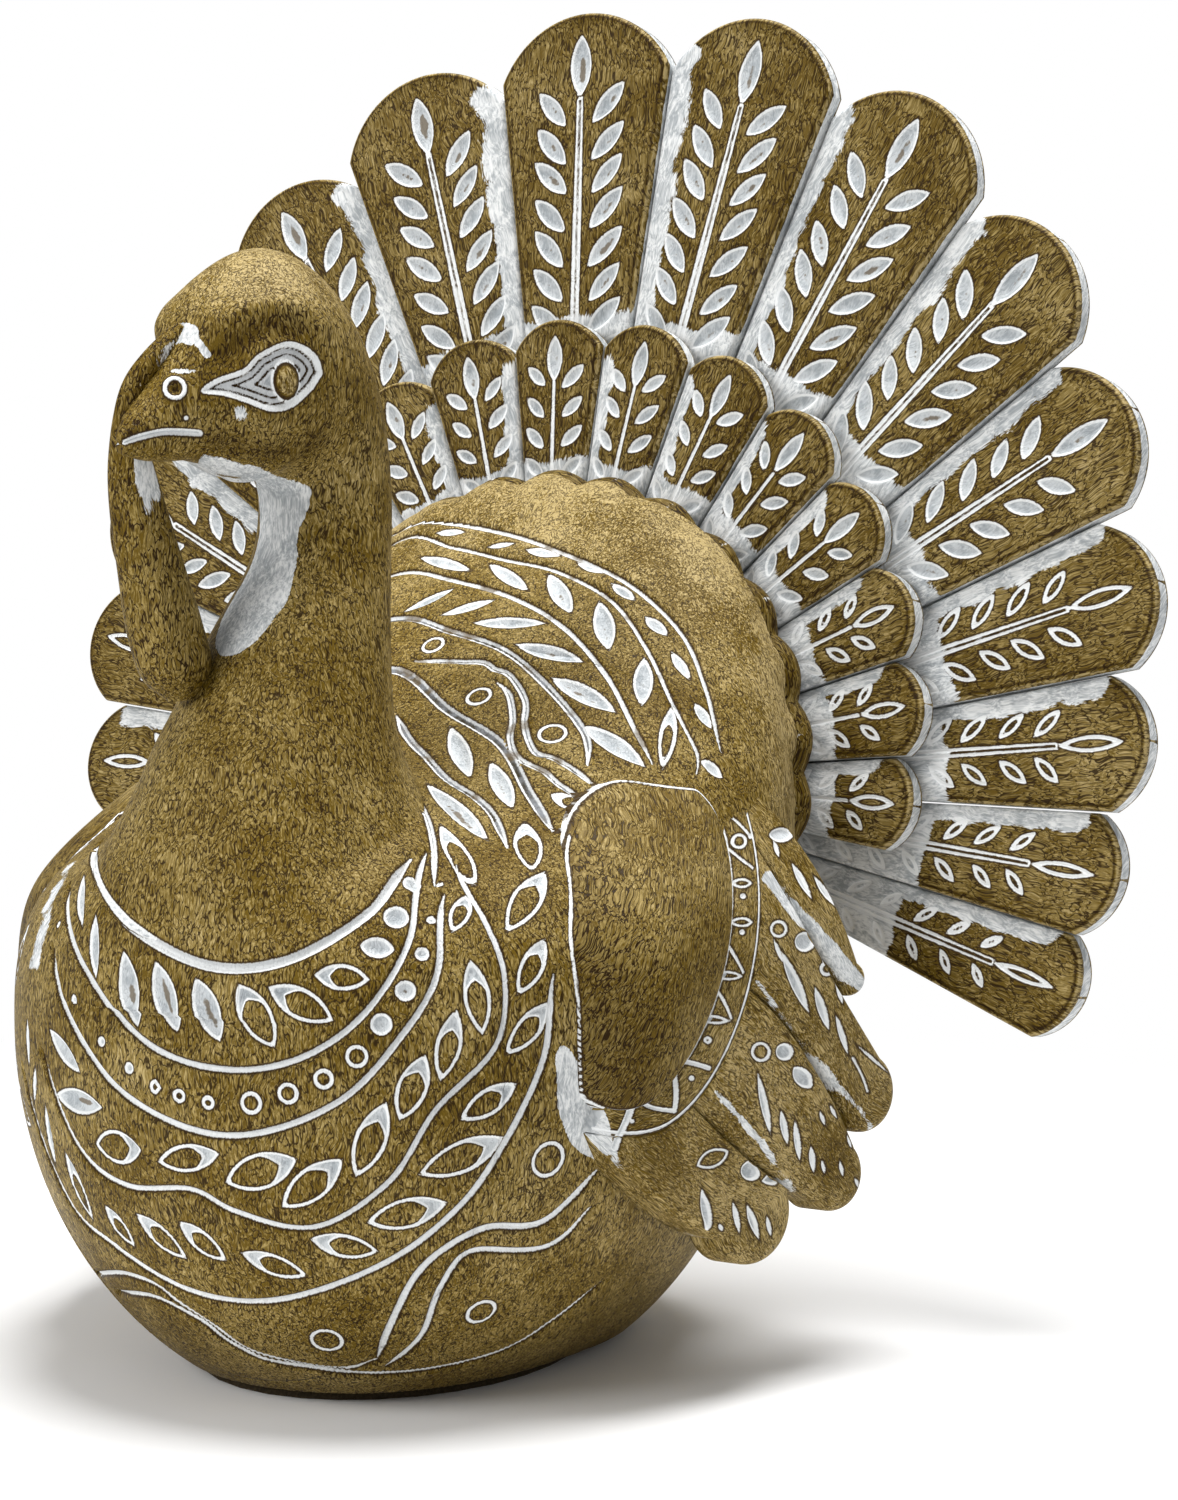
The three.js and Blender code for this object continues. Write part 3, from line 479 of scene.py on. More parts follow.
# Depths in the tail's frame, as the castings are stacked
def tailDepths():
    outerHalf = math.radians(tail["outerPitch"] / 2)
    innerTop = tail["innerReach"] + tail["innerCrown"]
    outerTop = tail["outerReach"] + tail["outerCrown"] + tail["outerCrest"]
    outerLift = tail["tilt"] * outerTop * math.tan(outerHalf)
    innerLift = tail["tilt"] * innerTop * math.tan(math.radians(tail["innerPitch"] / 2))
    innerBack = -(tail["tilt"] * innerTop * math.tan(outerHalf) + innerLift + tail["glueLine"] + tail["tilt"])
    innerFace = innerBack - tail["innerThickness"]
    collarBack = innerFace - innerLift - tail["glueLine"]
    collarFace = collarBack - tail["collarThickness"]
    return {"innerFace": innerFace, "collarBack": collarBack, "collarFace": collarFace,
            "bodyRear": collarFace - tail["glueLine"],
            "coverFace": tail["outerThickness"] + outerLift + tail["glueLine"]}


depths = tailDepths()


def fromTail(points):
    x, y, z = np.moveaxis(points, -1, 0)
    back, up = rotate(y, z, -tail["lean"])
    return np.stack([x, tail["back"] + back, tail["height"] + up], -1)


def toTail(points):
    x, y, z = np.moveaxis(points - np.array([0, tail["back"], tail["height"]]), -1, 0)
    return np.stack([x, *rotate(y, z, tail["lean"])], -1)


scallops = round(360 / tail["innerPitch"])


# Scalloped edge of the collar at an angle from its top
def collarEdge(angle):
    phase = angle * scallops / (2 * math.pi) + 0.5
    return tail["collar"] + tail["scallop"] * (np.sin(np.pi * (phase - np.floor(phase))) - 0.5)


def bodySurface():
    turn = np.linspace(-math.pi / 2, 1.5 * math.pi, 6001)
    power = np.where(np.sin(turn) > 0, 2 / body["shoulder"], 2 / body["belly"])
    across = np.sign(np.cos(turn)) * np.abs(np.cos(turn)) ** power
    rise = np.sign(np.sin(turn)) * np.abs(np.sin(turn)) ** power
    half, up, down = body["section"]
    steps = np.hypot(np.diff(half * across), np.diff(np.where(rise > 0, up, down) * rise))
    length = np.concatenate([[0], np.cumsum(steps)])
    even = np.linspace(0, length[-1], body["columns"], endpoint=False)
    across, rise = np.interp(even, length, across), np.interp(even, length, rise)
    share = np.linspace(0, 1, body["rows"]) ** body["crowding"]
    along, half, widest, top, bottom = smoothRow(body["stations"], share).T[:, :, None]
    grid = np.stack(np.broadcast_arrays(
        half * across, along, widest + np.where(rise > 0, top - widest, widest - bottom) * rise), -1)
    grid[..., 2] = np.maximum(grid[..., 2], body["baseLevel"])
    local = toTail(grid)
    past = local[..., 1] - depths["bodyRear"]
    excess = np.maximum(0, past) * (local[..., 2] > body["cutFoot"])
    angle = np.arctan2(local[..., 0], local[..., 2])
    radius = np.hypot(local[..., 0], local[..., 2])
    rim = collarEdge(angle) - body["rimInset"]
    near = np.clip(past / body["flareLength"] + 1, 0, 1) ** 2 * (local[..., 2] > body["flareFoot"])
    flared = np.maximum(radius, radius + (rim - radius) * near) - body["tuck"] * excess
    local[..., 0] *= flared / radius
    local[..., 2] *= flared / radius
    local[..., 1] -= excess
    return fromTail(local)


bodyGrid = bodySurface()
bodyNormals = gridNormals(bodyGrid)
bodyPoints, bodyOut = bodyGrid.reshape(-1, 3), bodyNormals.reshape(-1, 3)
bodyFacing = np.flatnonzero(np.sum(bodyOut * (cameraPlace - bodyPoints), axis=1) > 0)
bodyPixels = toPixels(bodyPoints[bodyFacing])

# Carved lines: width, then points across and up as seen from the front. First the grooves of the casting
grooves = {
    "bib": (1.6, [(-38, 93), (-24, 89), (-8, 82), (8, 78), (21, 80), (30, 87), (30, 94)]),
    "second": (1.0, [(-33, 87), (-20, 76), (-4, 65), (12, 62), (25, 65), (34, 73), (37, 84), (31, 95)]),
    "third": (1.05, [(-31, 78), (-23, 67), (-9, 56), (11, 51), (29, 57), (39, 69), (42, 79), (38, 90)]),
    "wavy": (0.9, [(-32, 60), (-22, 45), (-11, 40), (3, 41), (11, 38), (24, 36), (36, 44), (43, 56),
        (50, 66), (50, 77), (45, 86), (36, 94)]),
    "fifth": (1.1, [(-41, 56), (-29, 34), (-18, 28), (-2, 22), (14, 22), (32, 29), (44, 39), (51, 51),
        (55, 64), (55, 77)]),
    "rump": (0.8, [(-58, 109), (-54, 122), (-46, 134), (-36, 143), (-24, 148), (-5, 147), (13, 143),
        (28, 138), (41, 130), (50, 120), (57, 109)]),
    "back": (0.9, [(-52, 108), (-46, 120), (-36, 132), (-22, 139), (-8, 138), (8, 135), (22, 130),
        (35, 122), (46, 112), (50, 108)]),
    "flank": (1.4, [(-42, 109), (-36, 119), (-26, 127), (-14, 131), (-1, 129), (13, 126), (26, 120),
        (37, 113), (41, 108)]),
    "shoulder": (1.9, [(-42, 100), (-32, 111), (-20, 119), (-7, 122), (9, 116), (24, 111), (35, 104),
        (44, 98)]),
    "belly": (1.2, [(25, 10), (31, 19), (38, 29), (46, 35), (52, 35), (58, 43)]),
}
# Finer lines beside them
fineLines = {
    "rumpInner": (0.7, [(-55, 106), (-50, 118), (-42, 131), (-28, 145), (-13, 144), (0, 142), (13, 140),
        (27, 135), (38, 127), (47, 118), (54, 110), (56, 106)]),
    "lowB": (1.0, [(25, 8), (33, 15), (39, 25), (44, 31), (51, 30), (56, 36)]),
    "lowC": (0.9, [(-33, 18), (-20, 22), (-11, 22), (-6, 19), (0, 15), (4, 11), (11, 9), (19, 8),
        (25, 10)]),
    "lowD": (0.9, [(-24, 17), (-12, 19), (-3, 16), (1, 12), (6, 9), (13, 8), (20, 7), (29, 7), (38, 9),
        (45, 14), (51, 20)]),
    "waveUpper": (1.2, [(-5, 124), (0, 124), (5, 124), (10, 124), (13, 123), (17, 122), (23, 118),
        (26, 114), (31, 110), (35, 109), (40, 107), (46, 104)]),
    "waveLower": (1.2, [(15, 121), (19, 119), (23, 115), (25, 112), (29, 109), (35, 107), (39, 105),
        (46, 102)]),
    "neck": (1.5, [(-1, 115), (6, 111), (13, 108), (20, 105), (27, 103), (32, 101), (37, 98), (40, 96)]),
    "fore": (1.1, [(20, 101), (27, 98), (32, 95), (36, 91)]),
}
pixelSize = 0.18  # millimetres of a pixel at the wing
# Dry-brushed patch under the front of the wing, in pixels, and the millimetres over which it comes in
wingBrush = [(555, 1062), (562, 1045), (574, 1056), (590, 1085), (606, 1122), (616, 1162), (590, 1158),
             (570, 1143), (558, 1108)]
brushEdge = (-0.6, 0.8)
# Streaks down the edge of the breast, in pixels
breastStreaks = [(118, 786), (80, 842), (50, 905), (32, 965)]
# Leaves: two ends in pixels, width in millimetres, and whether only the outline is cut
bodyLeaves = [
    (89, 883, 87, 929, 2.1, 0), (104, 921, 99, 978, 2.5, 0), (131, 954, 137, 1026, 4.3, 0),
    (162, 965, 178, 1033, 4.5, 0), (200, 979, 219, 1042, 4.7, 0), (240, 985, 275, 1048, 5.5, 1),
    (269, 988, 332, 1022, 5.0, 1), (314, 975, 370, 978, 4.3, 1), (359, 946, 395, 949, 3.6, 0),
    (50, 1029, 79, 1073, 3.1, 0), (57, 1094, 101, 1108, 4.3, 0), (96, 1143, 141, 1150, 5.9, 1),
    (158, 1162, 219, 1154, 4.8, 1), (225, 1182, 297, 1159, 6.1, 1), (282, 1207, 344, 1159, 5.5, 1),
    (356, 1178, 387, 1102, 5.2, 1), (400, 1120, 424, 1054, 5.0, 1), (441, 1081, 457, 1011, 4.3, 1),
    (483, 1034, 470, 961, 4.5, 1), (452, 931, 468, 895, 3.4, 1), (446, 837, 476, 886, 3.8, 1),
    (27, 1019, 28, 1065, 1.7, 0), (35, 1065, 34, 1103, 1.5, 0), (45, 1105, 55, 1166, 2.1, 0),
    (65, 1152, 93, 1219, 3.6, 1), (105, 1206, 135, 1246, 3.6, 1), (136, 1214, 186, 1259, 4.3, 1),
    (179, 1221, 227, 1261, 4.3, 1), (241, 1254, 306, 1275, 4.3, 1), (311, 1240, 378, 1251, 4.5, 1),
    (367, 1223, 447, 1203, 5.5, 1), (418, 1174, 504, 1136, 5.6, 1), (462, 1120, 517, 1083, 4.5, 1),
    (507, 1054, 550, 1003, 4.3, 1), (517, 994, 545, 938, 4.1, 1), (506, 933, 545, 873, 5.0, 1),
    (437, 533, 464, 531, 1.8, 0), (486, 547, 515, 544, 1.5, 0), (525, 549, 561, 556, 2.3, 0),
    (577, 561, 604, 573, 2.1, 0), (613, 583, 636, 600, 2.2, 0), (644, 616, 668, 637, 2.6, 0),
    (671, 651, 691, 680, 2.2, 0), (695, 702, 712, 730, 2.5, 0), (701, 760, 722, 776, 2.6, 0),
    (420, 556, 472, 572, 2.6, 0), (488, 562, 529, 591, 2.8, 0), (548, 573, 573, 614, 3.6, 0),
    (600, 601, 610, 651, 3.9, 0), (643, 658, 642, 705, 3.6, 0), (673, 705, 663, 769, 3.1, 1),
    (405, 611, 453, 589, 2.3, 0), (441, 614, 495, 601, 2.5, 0), (472, 622, 546, 624, 3.2, 0),
    (514, 644, 582, 661, 3.6, 0), (550, 677, 617, 711, 4.0, 0), (584, 725, 647, 767, 4.1, 0),
    (551, 794, 588, 810, 3.9, 1), (449, 726, 472, 778, 3.7, 0), (491, 762, 514, 809, 3.6, 0),
    (428, 792, 488, 842, 4.4, 0), (442, 832, 473, 885, 4.1, 1), (526, 822, 532, 870, 4.9, 1),
]
# Dots: middle in pixels, radius in millimetres, and whether only the outline is cut
bodyDots = [
    (396, 916, 2.1, 0), (413, 886, 1.5, 0), (59, 925, 0.6, 0), (75, 999, 0.8, 0), (101, 1042, 0.9, 0),
    (129, 1068, 1.0, 0), (158, 1087, 1.2, 1), (179, 1096, 1.2, 1), (209, 1103, 1.2, 1), (251, 1103, 1.9, 1),
    (287, 1094, 1.8, 1), (325, 1079, 1.7, 1), (357, 1056, 1.9, 1), (382, 1025, 1.8, 0), (406, 991, 1.7, 0),
    (422, 953, 1.2, 0), (432, 920, 0.8, 0), (439, 885, 0.6, 0), (480, 1312, 2.8, 1), (327, 1340, 2.9, 1),
    (550, 1159, 3.2, 1), (433, 646, 2.3, 1), (480, 696, 2.5, 1), (551, 733, 2.7, 1),
]


def brushedPatch(flat):
    return smoothStep(-regionDistance(flat, np.array(wingBrush) * pixelSize), *brushEdge)


# Nearest point of the body that the camera sees at each pixel
def onBody(pixels):
    nearest = [np.argmin(np.sum((bodyPixels - np.array(p)) ** 2, axis=1)) for p in pixels]
    return bodyFacing[np.array(nearest)]


# Points of the body's surface behind points seen from the front (across, up)
def fromFront(points):
    across, height = np.asarray(points, float).T
    along, half, widest, top, bottom = smoothRow(body["stations"], np.linspace(0, 1, 2400)).T
    rise = height[:, None] - widest
    reach = np.where(rise > 0, top - widest, widest - bottom)
    power = np.where(rise > 0, body["shoulder"], body["belly"])
    inside = (np.abs(across[:, None]) / half) ** power + (np.abs(rise) / reach) ** power < 1
    return np.stack([across, along[np.argmax(inside, axis=1)], height], -1)


# The shape again on the side that the photograph doesn't show, where its mirror image is out of sight
def hiddenTwin(points, normals):
    twin = points * mirror
    out = (normals * mirror).mean(axis=0)
    return np.dot(out, unit(cameraPlace - twin.mean(axis=0))) < grazing, twin


# Every line as a path on the body, those of one flank also on the other
def bodyPaths():
    paths = []
    for width, points in [*grooves.values(), *fineLines.values()]:
        path = fromFront(smoothRow(points, np.linspace(0, 1, 8 * len(points))))
        paths.append((path, width))
        if min(x for x, _ in points) > body["oneFlank"]:
            paths.append((path * mirror, width))
    return paths


# The lines at the corners of each face, from the line that runs nearest to the face
def lineCorners(paths):
    index = np.arange(len(bodyPoints)).reshape(bodyGrid.shape[:2])
    quads = facesOf(index, np.roll(index, -1, axis=1))
    centre = bodyPoints[quads].mean(axis=1)
    reach = body["lineMargin"]
    nearest = np.full(len(quads), float(reach))
    side, half = np.full(quads.shape, clear), np.zeros(quads.shape)
    for path, width in paths:
        inBox = (centre > path.min(axis=0) - reach) & (centre < path.max(axis=0) + reach)
        close = np.flatnonzero(np.all(inBox, axis=1))
        distance = pathDistance(centre[close], path)
        nearer = distance < nearest[close]
        found = close[nearer]
        nearest[found] = distance[nearer]
        corner = quads[found].ravel()
        sides, halves = besidePath(bodyPoints[corner], bodyOut[corner], path, width)
        side[found], half[found] = sides.reshape(-1, 4), halves.reshape(-1, 4)
    shape = (bodyGrid.shape[0] - 1, bodyGrid.shape[1], 4)
    return side.reshape(shape), half.reshape(shape)


# Leaves and dots: distance and width of the outline; and the distance to the lines' middles
def bodyCarving(paths):
    carve, ring = np.full(len(bodyPoints), clear), np.full(len(bodyPoints), whole)
    lines = np.full(len(bodyPoints), clear)

    def cut(middle, reach, distance, outline):
        near = np.flatnonzero(np.sum((bodyPoints - middle) ** 2, axis=1) < reach ** 2)
        found = distance(bodyPoints[near])
        nearer = found < carve[near]
        carve[near[nearer]] = found[nearer]
        ring[near[nearer]] = np.broadcast_to(outline(bodyPoints[near]), len(near))[nearer]

    def cutLeaf(ends, normal, width, outline):
        middle, length = ends.mean(axis=0), np.linalg.norm(ends[1] - ends[0])
        along = unit(ends[1] - ends[0])
        across = unit(np.cross(normal, along))

        def distance(at):
            return leafDistance((at - middle) @ along, (at - middle) @ across, length / 2, width / 2)

        def line(at):  # paint gathers towards the upper end
            thin, gain = body["leafLine"]
            gathered = thin + gain * smoothStep((at - middle) @ along / length, *body["leafGather"])
            return gathered if outline else np.full(len(at), whole)

        cut(middle, length / 2 + body["margin"], distance, line)

    def cutDot(middle, radius, outline):
        cut(middle, radius + body["margin"], lambda at: np.linalg.norm(at - middle, axis=1) - radius,
            lambda at: body["dotLine"] if outline else whole)

    for path, width in paths:
        middle = (path.min(axis=0) + path.max(axis=0)) / 2
        reach = np.linalg.norm(path - middle, axis=1).max() + body["lineMargin"]
        near = np.flatnonzero(np.sum((bodyPoints - middle) ** 2, axis=1) < reach ** 2)
        lines[near] = np.minimum(lines[near], pathDistance(bodyPoints[near], path))
    for x0, y0, x1, y1, width, outline in bodyLeaves:
        found = onBody([(x0, y0), (x1, y1), ((x0 + x1) / 2, (y0 + y1) / 2)])
        upward = np.argsort(bodyPoints[found[:2], 2])
        ends, normal = bodyPoints[found[:2]][upward], bodyOut[found[2]]
        cutLeaf(ends, normal, width, outline)
        hidden, twin = hiddenTwin(ends, bodyOut[found])
        if hidden:
            cutLeaf(twin, normal * mirror, width, outline)
    for x, y, radius, outline in bodyDots:
        found = onBody([(x, y)])
        cutDot(bodyPoints[found[0]], radius, outline)
        hidden, twin = hiddenTwin(bodyPoints[found], bodyOut[found])
        if hidden:
            cutDot(twin[0], radius, outline)
    return [values.reshape(bodyGrid.shape[:2]) for values in (carve, ring, lines)]


# Head and neck: elliptic sections swung from level at the neck to upright at the beak
head = {
    "turn": math.radians(-12), "back": -31, "rows": 440, "columns": 280, "split": 230, "fillet": 16,
    "stations": [
        (5, 75, 0, 23, 23), (6.5, 91, 2, 25.5, 25.5), (5, 109, 5, 21.8, 21.8), (1.8, 120.5, 6, 18.8, 18.2),
        (-2.1, 132, 6, 16, 15), (-6.5, 143, 8, 12.8, 12.3), (-8, 152, 15, 12.1, 11.4),
        (-7, 161.5, 28, 12.4, 11.8), (-2.3, 169.4, 48, 15.4, 13.7), (4, 174.6, 68, 19, 15.2),
        (9.7, 176.8, 82, 19.4, 15.2), (15.8, 175.3, 91, 17.2, 13.9), (20.5, 173.6, 94, 14, 11.2),
        (25, 169.3, 100, 9, 7.6), (29.7, 166.3, 103, 6.2, 5.4), (34, 164.4, 106, 4.1, 3.6),
        (37.6, 162.9, 110, 1.6, 1.5)],
}


def fromNeck(points):
    x, y, z = np.moveaxis(points, -1, 0)
    x, y = rotate(x, y, head["turn"])
    return np.stack([x, y + head["back"], z], -1)


def toNeck(points):
    x, y, z = np.moveaxis(points - np.array([0, head["back"], 0]), -1, 0)
    return np.stack([*rotate(x, y, -head["turn"]), z], -1)


# Distance outside the neck at its foot, level by level
def fromNeckSkin(points):
    local = toNeck(points)
    forward, height, _, depth, width = np.array(head["stations"][:6], float).T
    middle = np.interp(local[..., 2], height, forward)
    radius = np.interp(local[..., 2], height, (depth + width) / 2)
    return np.hypot(local[..., 0], local[..., 1] + middle) - radius


# Distance outside the body, along the line to the middle of its section and lessened for its slant
def fromBodySkin(points):
    slant, least = 0.92, 0.2
    x, y, z = np.moveaxis(points, -1, 0)
    rows = smoothRow(body["stations"], np.linspace(0, 1, 400))
    half, widest, top, bottom = (np.interp(y, rows[:, 0], rows[:, i]) for i in (1, 2, 3, 4))
    reach = np.where(z > widest, top - widest, widest - bottom)
    power = np.where(z > widest, body["shoulder"], body["belly"])
    ratio = ((np.abs(x) / half) ** power + (np.abs(z - widest) / reach) ** power) ** (1 / power)
    return np.hypot(x, z - widest) * (1 - 1 / np.maximum(ratio, least)) * slant


# Swell of a smooth union: k/4 * (1 - d/k)^2 within the fillet's width k
def fillet(distance):
    return head["fillet"] / 4 * np.clip(1 - np.abs(distance) / head["fillet"], 0, 1) ** 2


def buildBody():
    paths = bodyPaths()
    carve, ring, lines = bodyCarving(paths)
    lineSide, lineHalf = lineCorners(paths)
    swell = fillet(fromNeckSkin(bodyGrid)) * (bodyGrid[..., 2] > body["filletFoot"])
    lineReach = body["lineReach"]
    cuts = chipped(ringOf(carve, ring), *body["leafChip"])
    cuts = cuts + chipped(lines - lineReach, body["lineDepth"], lineReach)
    grid = bodyGrid + bodyNormals * (swell + np.maximum(cuts, -body["lineDepth"]))[..., None]
    grid[..., 2] = np.maximum(grid[..., 2], body["baseLevel"])
    rear = toTail(bodyGrid)[..., 1]
    # painted light: paler towards the rump
    strength, start, end = body["paintedRumpLight"]
    worn = strength * smoothStep(rear, depths["bodyRear"] - start, depths["bodyRear"] - end)
    strength, start, end = body["paintedBaseShade"]
    # painted shade: darker towards the base
    worn = worn - strength * smoothStep(-bodyGrid[..., 2], -start, -end)  # darker towards the base
    facing = smoothStep(np.sum(bodyNormals * unit(cameraPlace - bodyGrid), axis=-1), *body["facing"])
    flat = toPixels(bodyPoints) * pixelSize
    brush = brushedPatch(flat)
    strength, width = body["streak"]
    streaks = strength * hump(pathDistance(flat, np.array(breastStreaks) * pixelSize), width)
    wash = np.maximum(brush, streaks).reshape(facing.shape) * facing
    first, second = body["splits"]
    for name, start, end in (("body_breast", 0, first), ("body_middle", first, second),
                             ("body_rump", second, body["rows"] - 1)):
        part = slice(start, end + 1)
        corners = {"lineSide": lineSide[start:end].reshape(-1, 4),
                   "lineHalf": lineHalf[start:end].reshape(-1, 4)}
        addPiece(name, grid[part], ["body_shell"], "carved_resin", carvedResin, corners=corners,
                 carve=carve[part], ring=ring[part], wash=wash[part], worn=worn[part])


buildBody()
print("body made")


# Tail feathers: rows up the blade, columns round its section; the half width is the sector's side,
# then the round tip: x = r cos a, z = middle + r sin a
def featherOutline(tip, half, straightRows, tipRows):
    root = tail["hub"] + tail["glueLine"]
    inner = tail["tip"] * tip * math.sin(half) / (1 + math.sin(half))
    middle, radius = tip - tail["bevel"] - inner, inner + tail["bevel"]
    slope, inset = math.tan(half), tail["gap"] / 2 / math.cos(half)
    angles = np.linspace(0, math.pi / 2, 400)
    over = middle + radius * np.sin(angles)
    start = angles[np.argmax(radius * np.cos(angles) <= over * slope - inset)]
    straight = np.linspace(root, middle + radius * math.sin(start), straightRows, endpoint=False)
    bend = np.linspace(start, math.radians(88.5), tipRows)
    height = np.concatenate([straight, middle + radius * np.sin(bend)])
    width = np.concatenate([straight * slope - inset, radius * np.cos(bend)])
    return height, width, middle, radius, slope, inset


# Section columns: the face from side to side, then the right wall, the back and the left wall
def sectionColumns(face, wall, back):
    across = np.sin(np.linspace(-math.pi / 2, math.pi / 2, face)) * 0.35 + np.linspace(-1, 1, face) * 0.65
    walls = np.linspace(0, 1, wall + 2)[1:-1]
    rear = np.linspace(1, -1, back)
    s = np.concatenate([across, np.ones(wall), rear, -np.ones(wall)])
    layer = np.concatenate([np.zeros(face), walls, np.ones(back), walls[::-1]])
    return s, layer


outerPattern = {
    "topLeaf": (10.7, 6.4, 2.35), "rib": (17.0, 1.6), "size": (5.1, 1.9), "away": 6.4, "full": 17.0,
    "first": 19.0, "pitch": 7.1, "count": 8, "lift": 46,
    "rows": (150, 44), "columns": (88, 4, 14), "thickness": tail["outerThickness"], "face": 0,
}
innerPattern = {
    "topLeaf": (7.8, 4.65, 1.75), "rib": (12.5, 0.8), "size": (3.1, 1.3), "away": 4.2, "full": 9.5,
    "first": 11.2, "pitch": 6.0, "count": 5, "lift": 43,
    "rows": (84, 34), "columns": (64, 4, 10),
    "thickness": tail["innerThickness"], "face": depths["innerFace"],
}
blade = {
    "round": 0.9, "lip": (0.2, 1.2, 0.6), "swell": 0.9, "chip": (0.85, 1.4), "backRound": 0.8,
    "outlined": 5, "outline": 0.75,  # from this place outwards only the leaves' outlines are cut
    "leafTurn": 4, "leafSize": (0.94, 1.06), "leafShift": 0.4,  # chance in the cutting
    "ribTaper": (45, 0.85, 1.2),  # as far as this from the tip, from one share of its width to another
    "ribEdge": (30, 0.42, 0.8),  # over this length, from one width to another
    "brush": 0.48, "brushIn": 1.2, "tipClear": (4, 11), "grainShift": 37.0,
    "underWash": 1.05, "rootWash": (0.95, 5, 1), "wallWash": 0.9,
    "lipWorn": 0.5, "lipLight": (0.3, 0.3), "lipShade": (1.5, 0.9, 0.3),
}


# Distance to the carving of a blade: rib, top leaf and pairs of leaves
def featherCarving(x, z, tip, slope, pattern, outline, seed):
    chance = np.random.default_rng(seed)
    fit = min(1.0, (tip - pattern["first"]) * slope / pattern["full"])  # narrow blades have smaller leaves
    below, half, width = pattern["topLeaf"]
    ribTop, ribWidth = pattern["rib"]
    carve = leafDistance(z - (tip - below), x, half, width * fit)
    half, width = pattern["size"]
    for number in range(pattern["count"]):
        height = tip - pattern["first"] - number * pattern["pitch"]
        for side in (-1, 1):
            turn = math.radians(pattern["lift"] + chance.uniform(-blade["leafTurn"], blade["leafTurn"]))
            size = fit * chance.uniform(*blade["leafSize"])
            shift = chance.uniform(-blade["leafShift"], blade["leafShift"])
            u, v = x * side - pattern["away"] * fit, z - height - shift
            along, across = rotate(u, v, -turn)
            carve = np.minimum(carve, leafDistance(along, across, half * size, width * size))
    ring = np.where(outline, blade["outline"], whole) * np.ones_like(x)
    end, *taper = blade["ribTaper"]
    taper = np.interp(tip - z, [ribTop, end], taper)
    run, *edges = blade["ribEdge"]  # its white edges meet towards the root
    ribEdge = np.interp(tip - z, [ribTop, ribTop + run], edges)
    rib = np.maximum(np.abs(x) - ribWidth / 2 * taper, z - (tip - ribTop))
    bare = rib < ringOf(carve, ring)
    return np.where(bare, rib, carve), np.where(bare, ribEdge, ring)


def addFeather(node, tip, near, far, place, pattern, rootWash, seed):
    half, turn = (far - near) / 2, (near + far) / 2 + tail["roll"]
    height, width, middle, radius, slope, inset = featherOutline(tip, half, *pattern["rows"])
    s, layer = sectionColumns(*pattern["columns"])
    x, z = s[None, :] * width[:, None], np.broadcast_to(height[:, None], (len(height), len(s)))
    toSide = (z * slope - inset - np.abs(x)) * math.cos(half)
    toTip = radius - np.hypot(x, np.maximum(z - middle, 0))
    edge = np.clip(np.minimum(toSide, np.where(z > middle, toTip, np.inf)), 0, None)
    drop = blade["round"] * (1 - np.sqrt(np.clip(1 - np.clip(1 - edge / blade["round"], 0, 1) ** 2, 0, 1)))
    lipHeight, lipInset, lipWidth = blade["lip"]
    lip = lipHeight * hump(edge - lipInset, lipWidth)
    lip = lip * smoothStep(z, middle - 0.3 * radius, middle + 0.5 * radius)
    swell = blade["swell"] * (1 - np.clip(np.abs(x) / (z * slope), 0, 1) ** 2)
    carve, ring = featherCarving(x, z, tip, slope, pattern, abs(place) >= blade["outlined"], seed)
    front = drop - lip - swell - chipped(ringOf(carve, ring), *blade["chip"])
    backRound = blade["backRound"]
    back = pattern["thickness"] - backRound * (1 - np.clip(edge / backRound, 0, 1)) ** 2
    y = np.where(layer == 0, front, np.where(layer == 1, back, front + (back - front) * layer))
    y = y - tail["tilt"] * np.sign(place) * x
    across, up = rotate(x, z, -turn)
    grid = fromTail(np.stack([across, y + pattern["face"], up], -1))
    onFace = layer == 0
    sides = width[:, None]
    brush = blade["brush"] * (sides + 2)
    under = smoothStep(-s * np.sign(place) * sides, sides - brush, sides - blade["brushIn"])
    strength, outside, within = blade["rootWash"]
    roots = smoothStep(-z, -rootWash - outside, within - rootWash)  # chalky round the next row's tips
    under = blade["underWash"] * under * smoothStep(tip - z, *blade["tipClear"])
    chalk = np.maximum(under, strength * roots)
    wash = np.where(onFace, chalk, np.where(layer < 1, blade["wallWash"], 0.0))
    inset, lineWidth = blade["lipLight"]
    shade, shadeInset, shadeWidth = blade["lipShade"]
    lipLine = hump(edge - inset, lineWidth) - shade * hump(edge - shadeInset, shadeWidth)
    worn = np.where(onFace, lipLine * blade["lipWorn"], 0.0)
    wide = np.concatenate([x, x[:, :1] - 0.01], axis=1)
    tall = np.concatenate([z, z[:, :1]], axis=1)
    flip = np.concatenate([layer, layer[:1]])
    grain = np.stack([wide + blade["grainShift"] * seed + 3 * flip, tall], -1)
    addPiece(node + "_finish", grid, [node], "feather_resin", featherResin, grain,
             carve=np.where(onFace, carve, clear), ring=ring, wash=wash, worn=worn)


def outerEdge(place):
    return math.radians(place * tail["outerPitch"] - tail["outerClosing"] * place ** 3)


def outerTip(turn):
    lean = turn - tail["crestTurn"]
    return tail["outerReach"] + tail["outerCrown"] * math.cos(lean) + tail["outerCrest"] * math.cos(2 * lean)


def innerTip(turn):
    return tail["innerReach"] + tail["innerCrown"] * math.cos(turn)


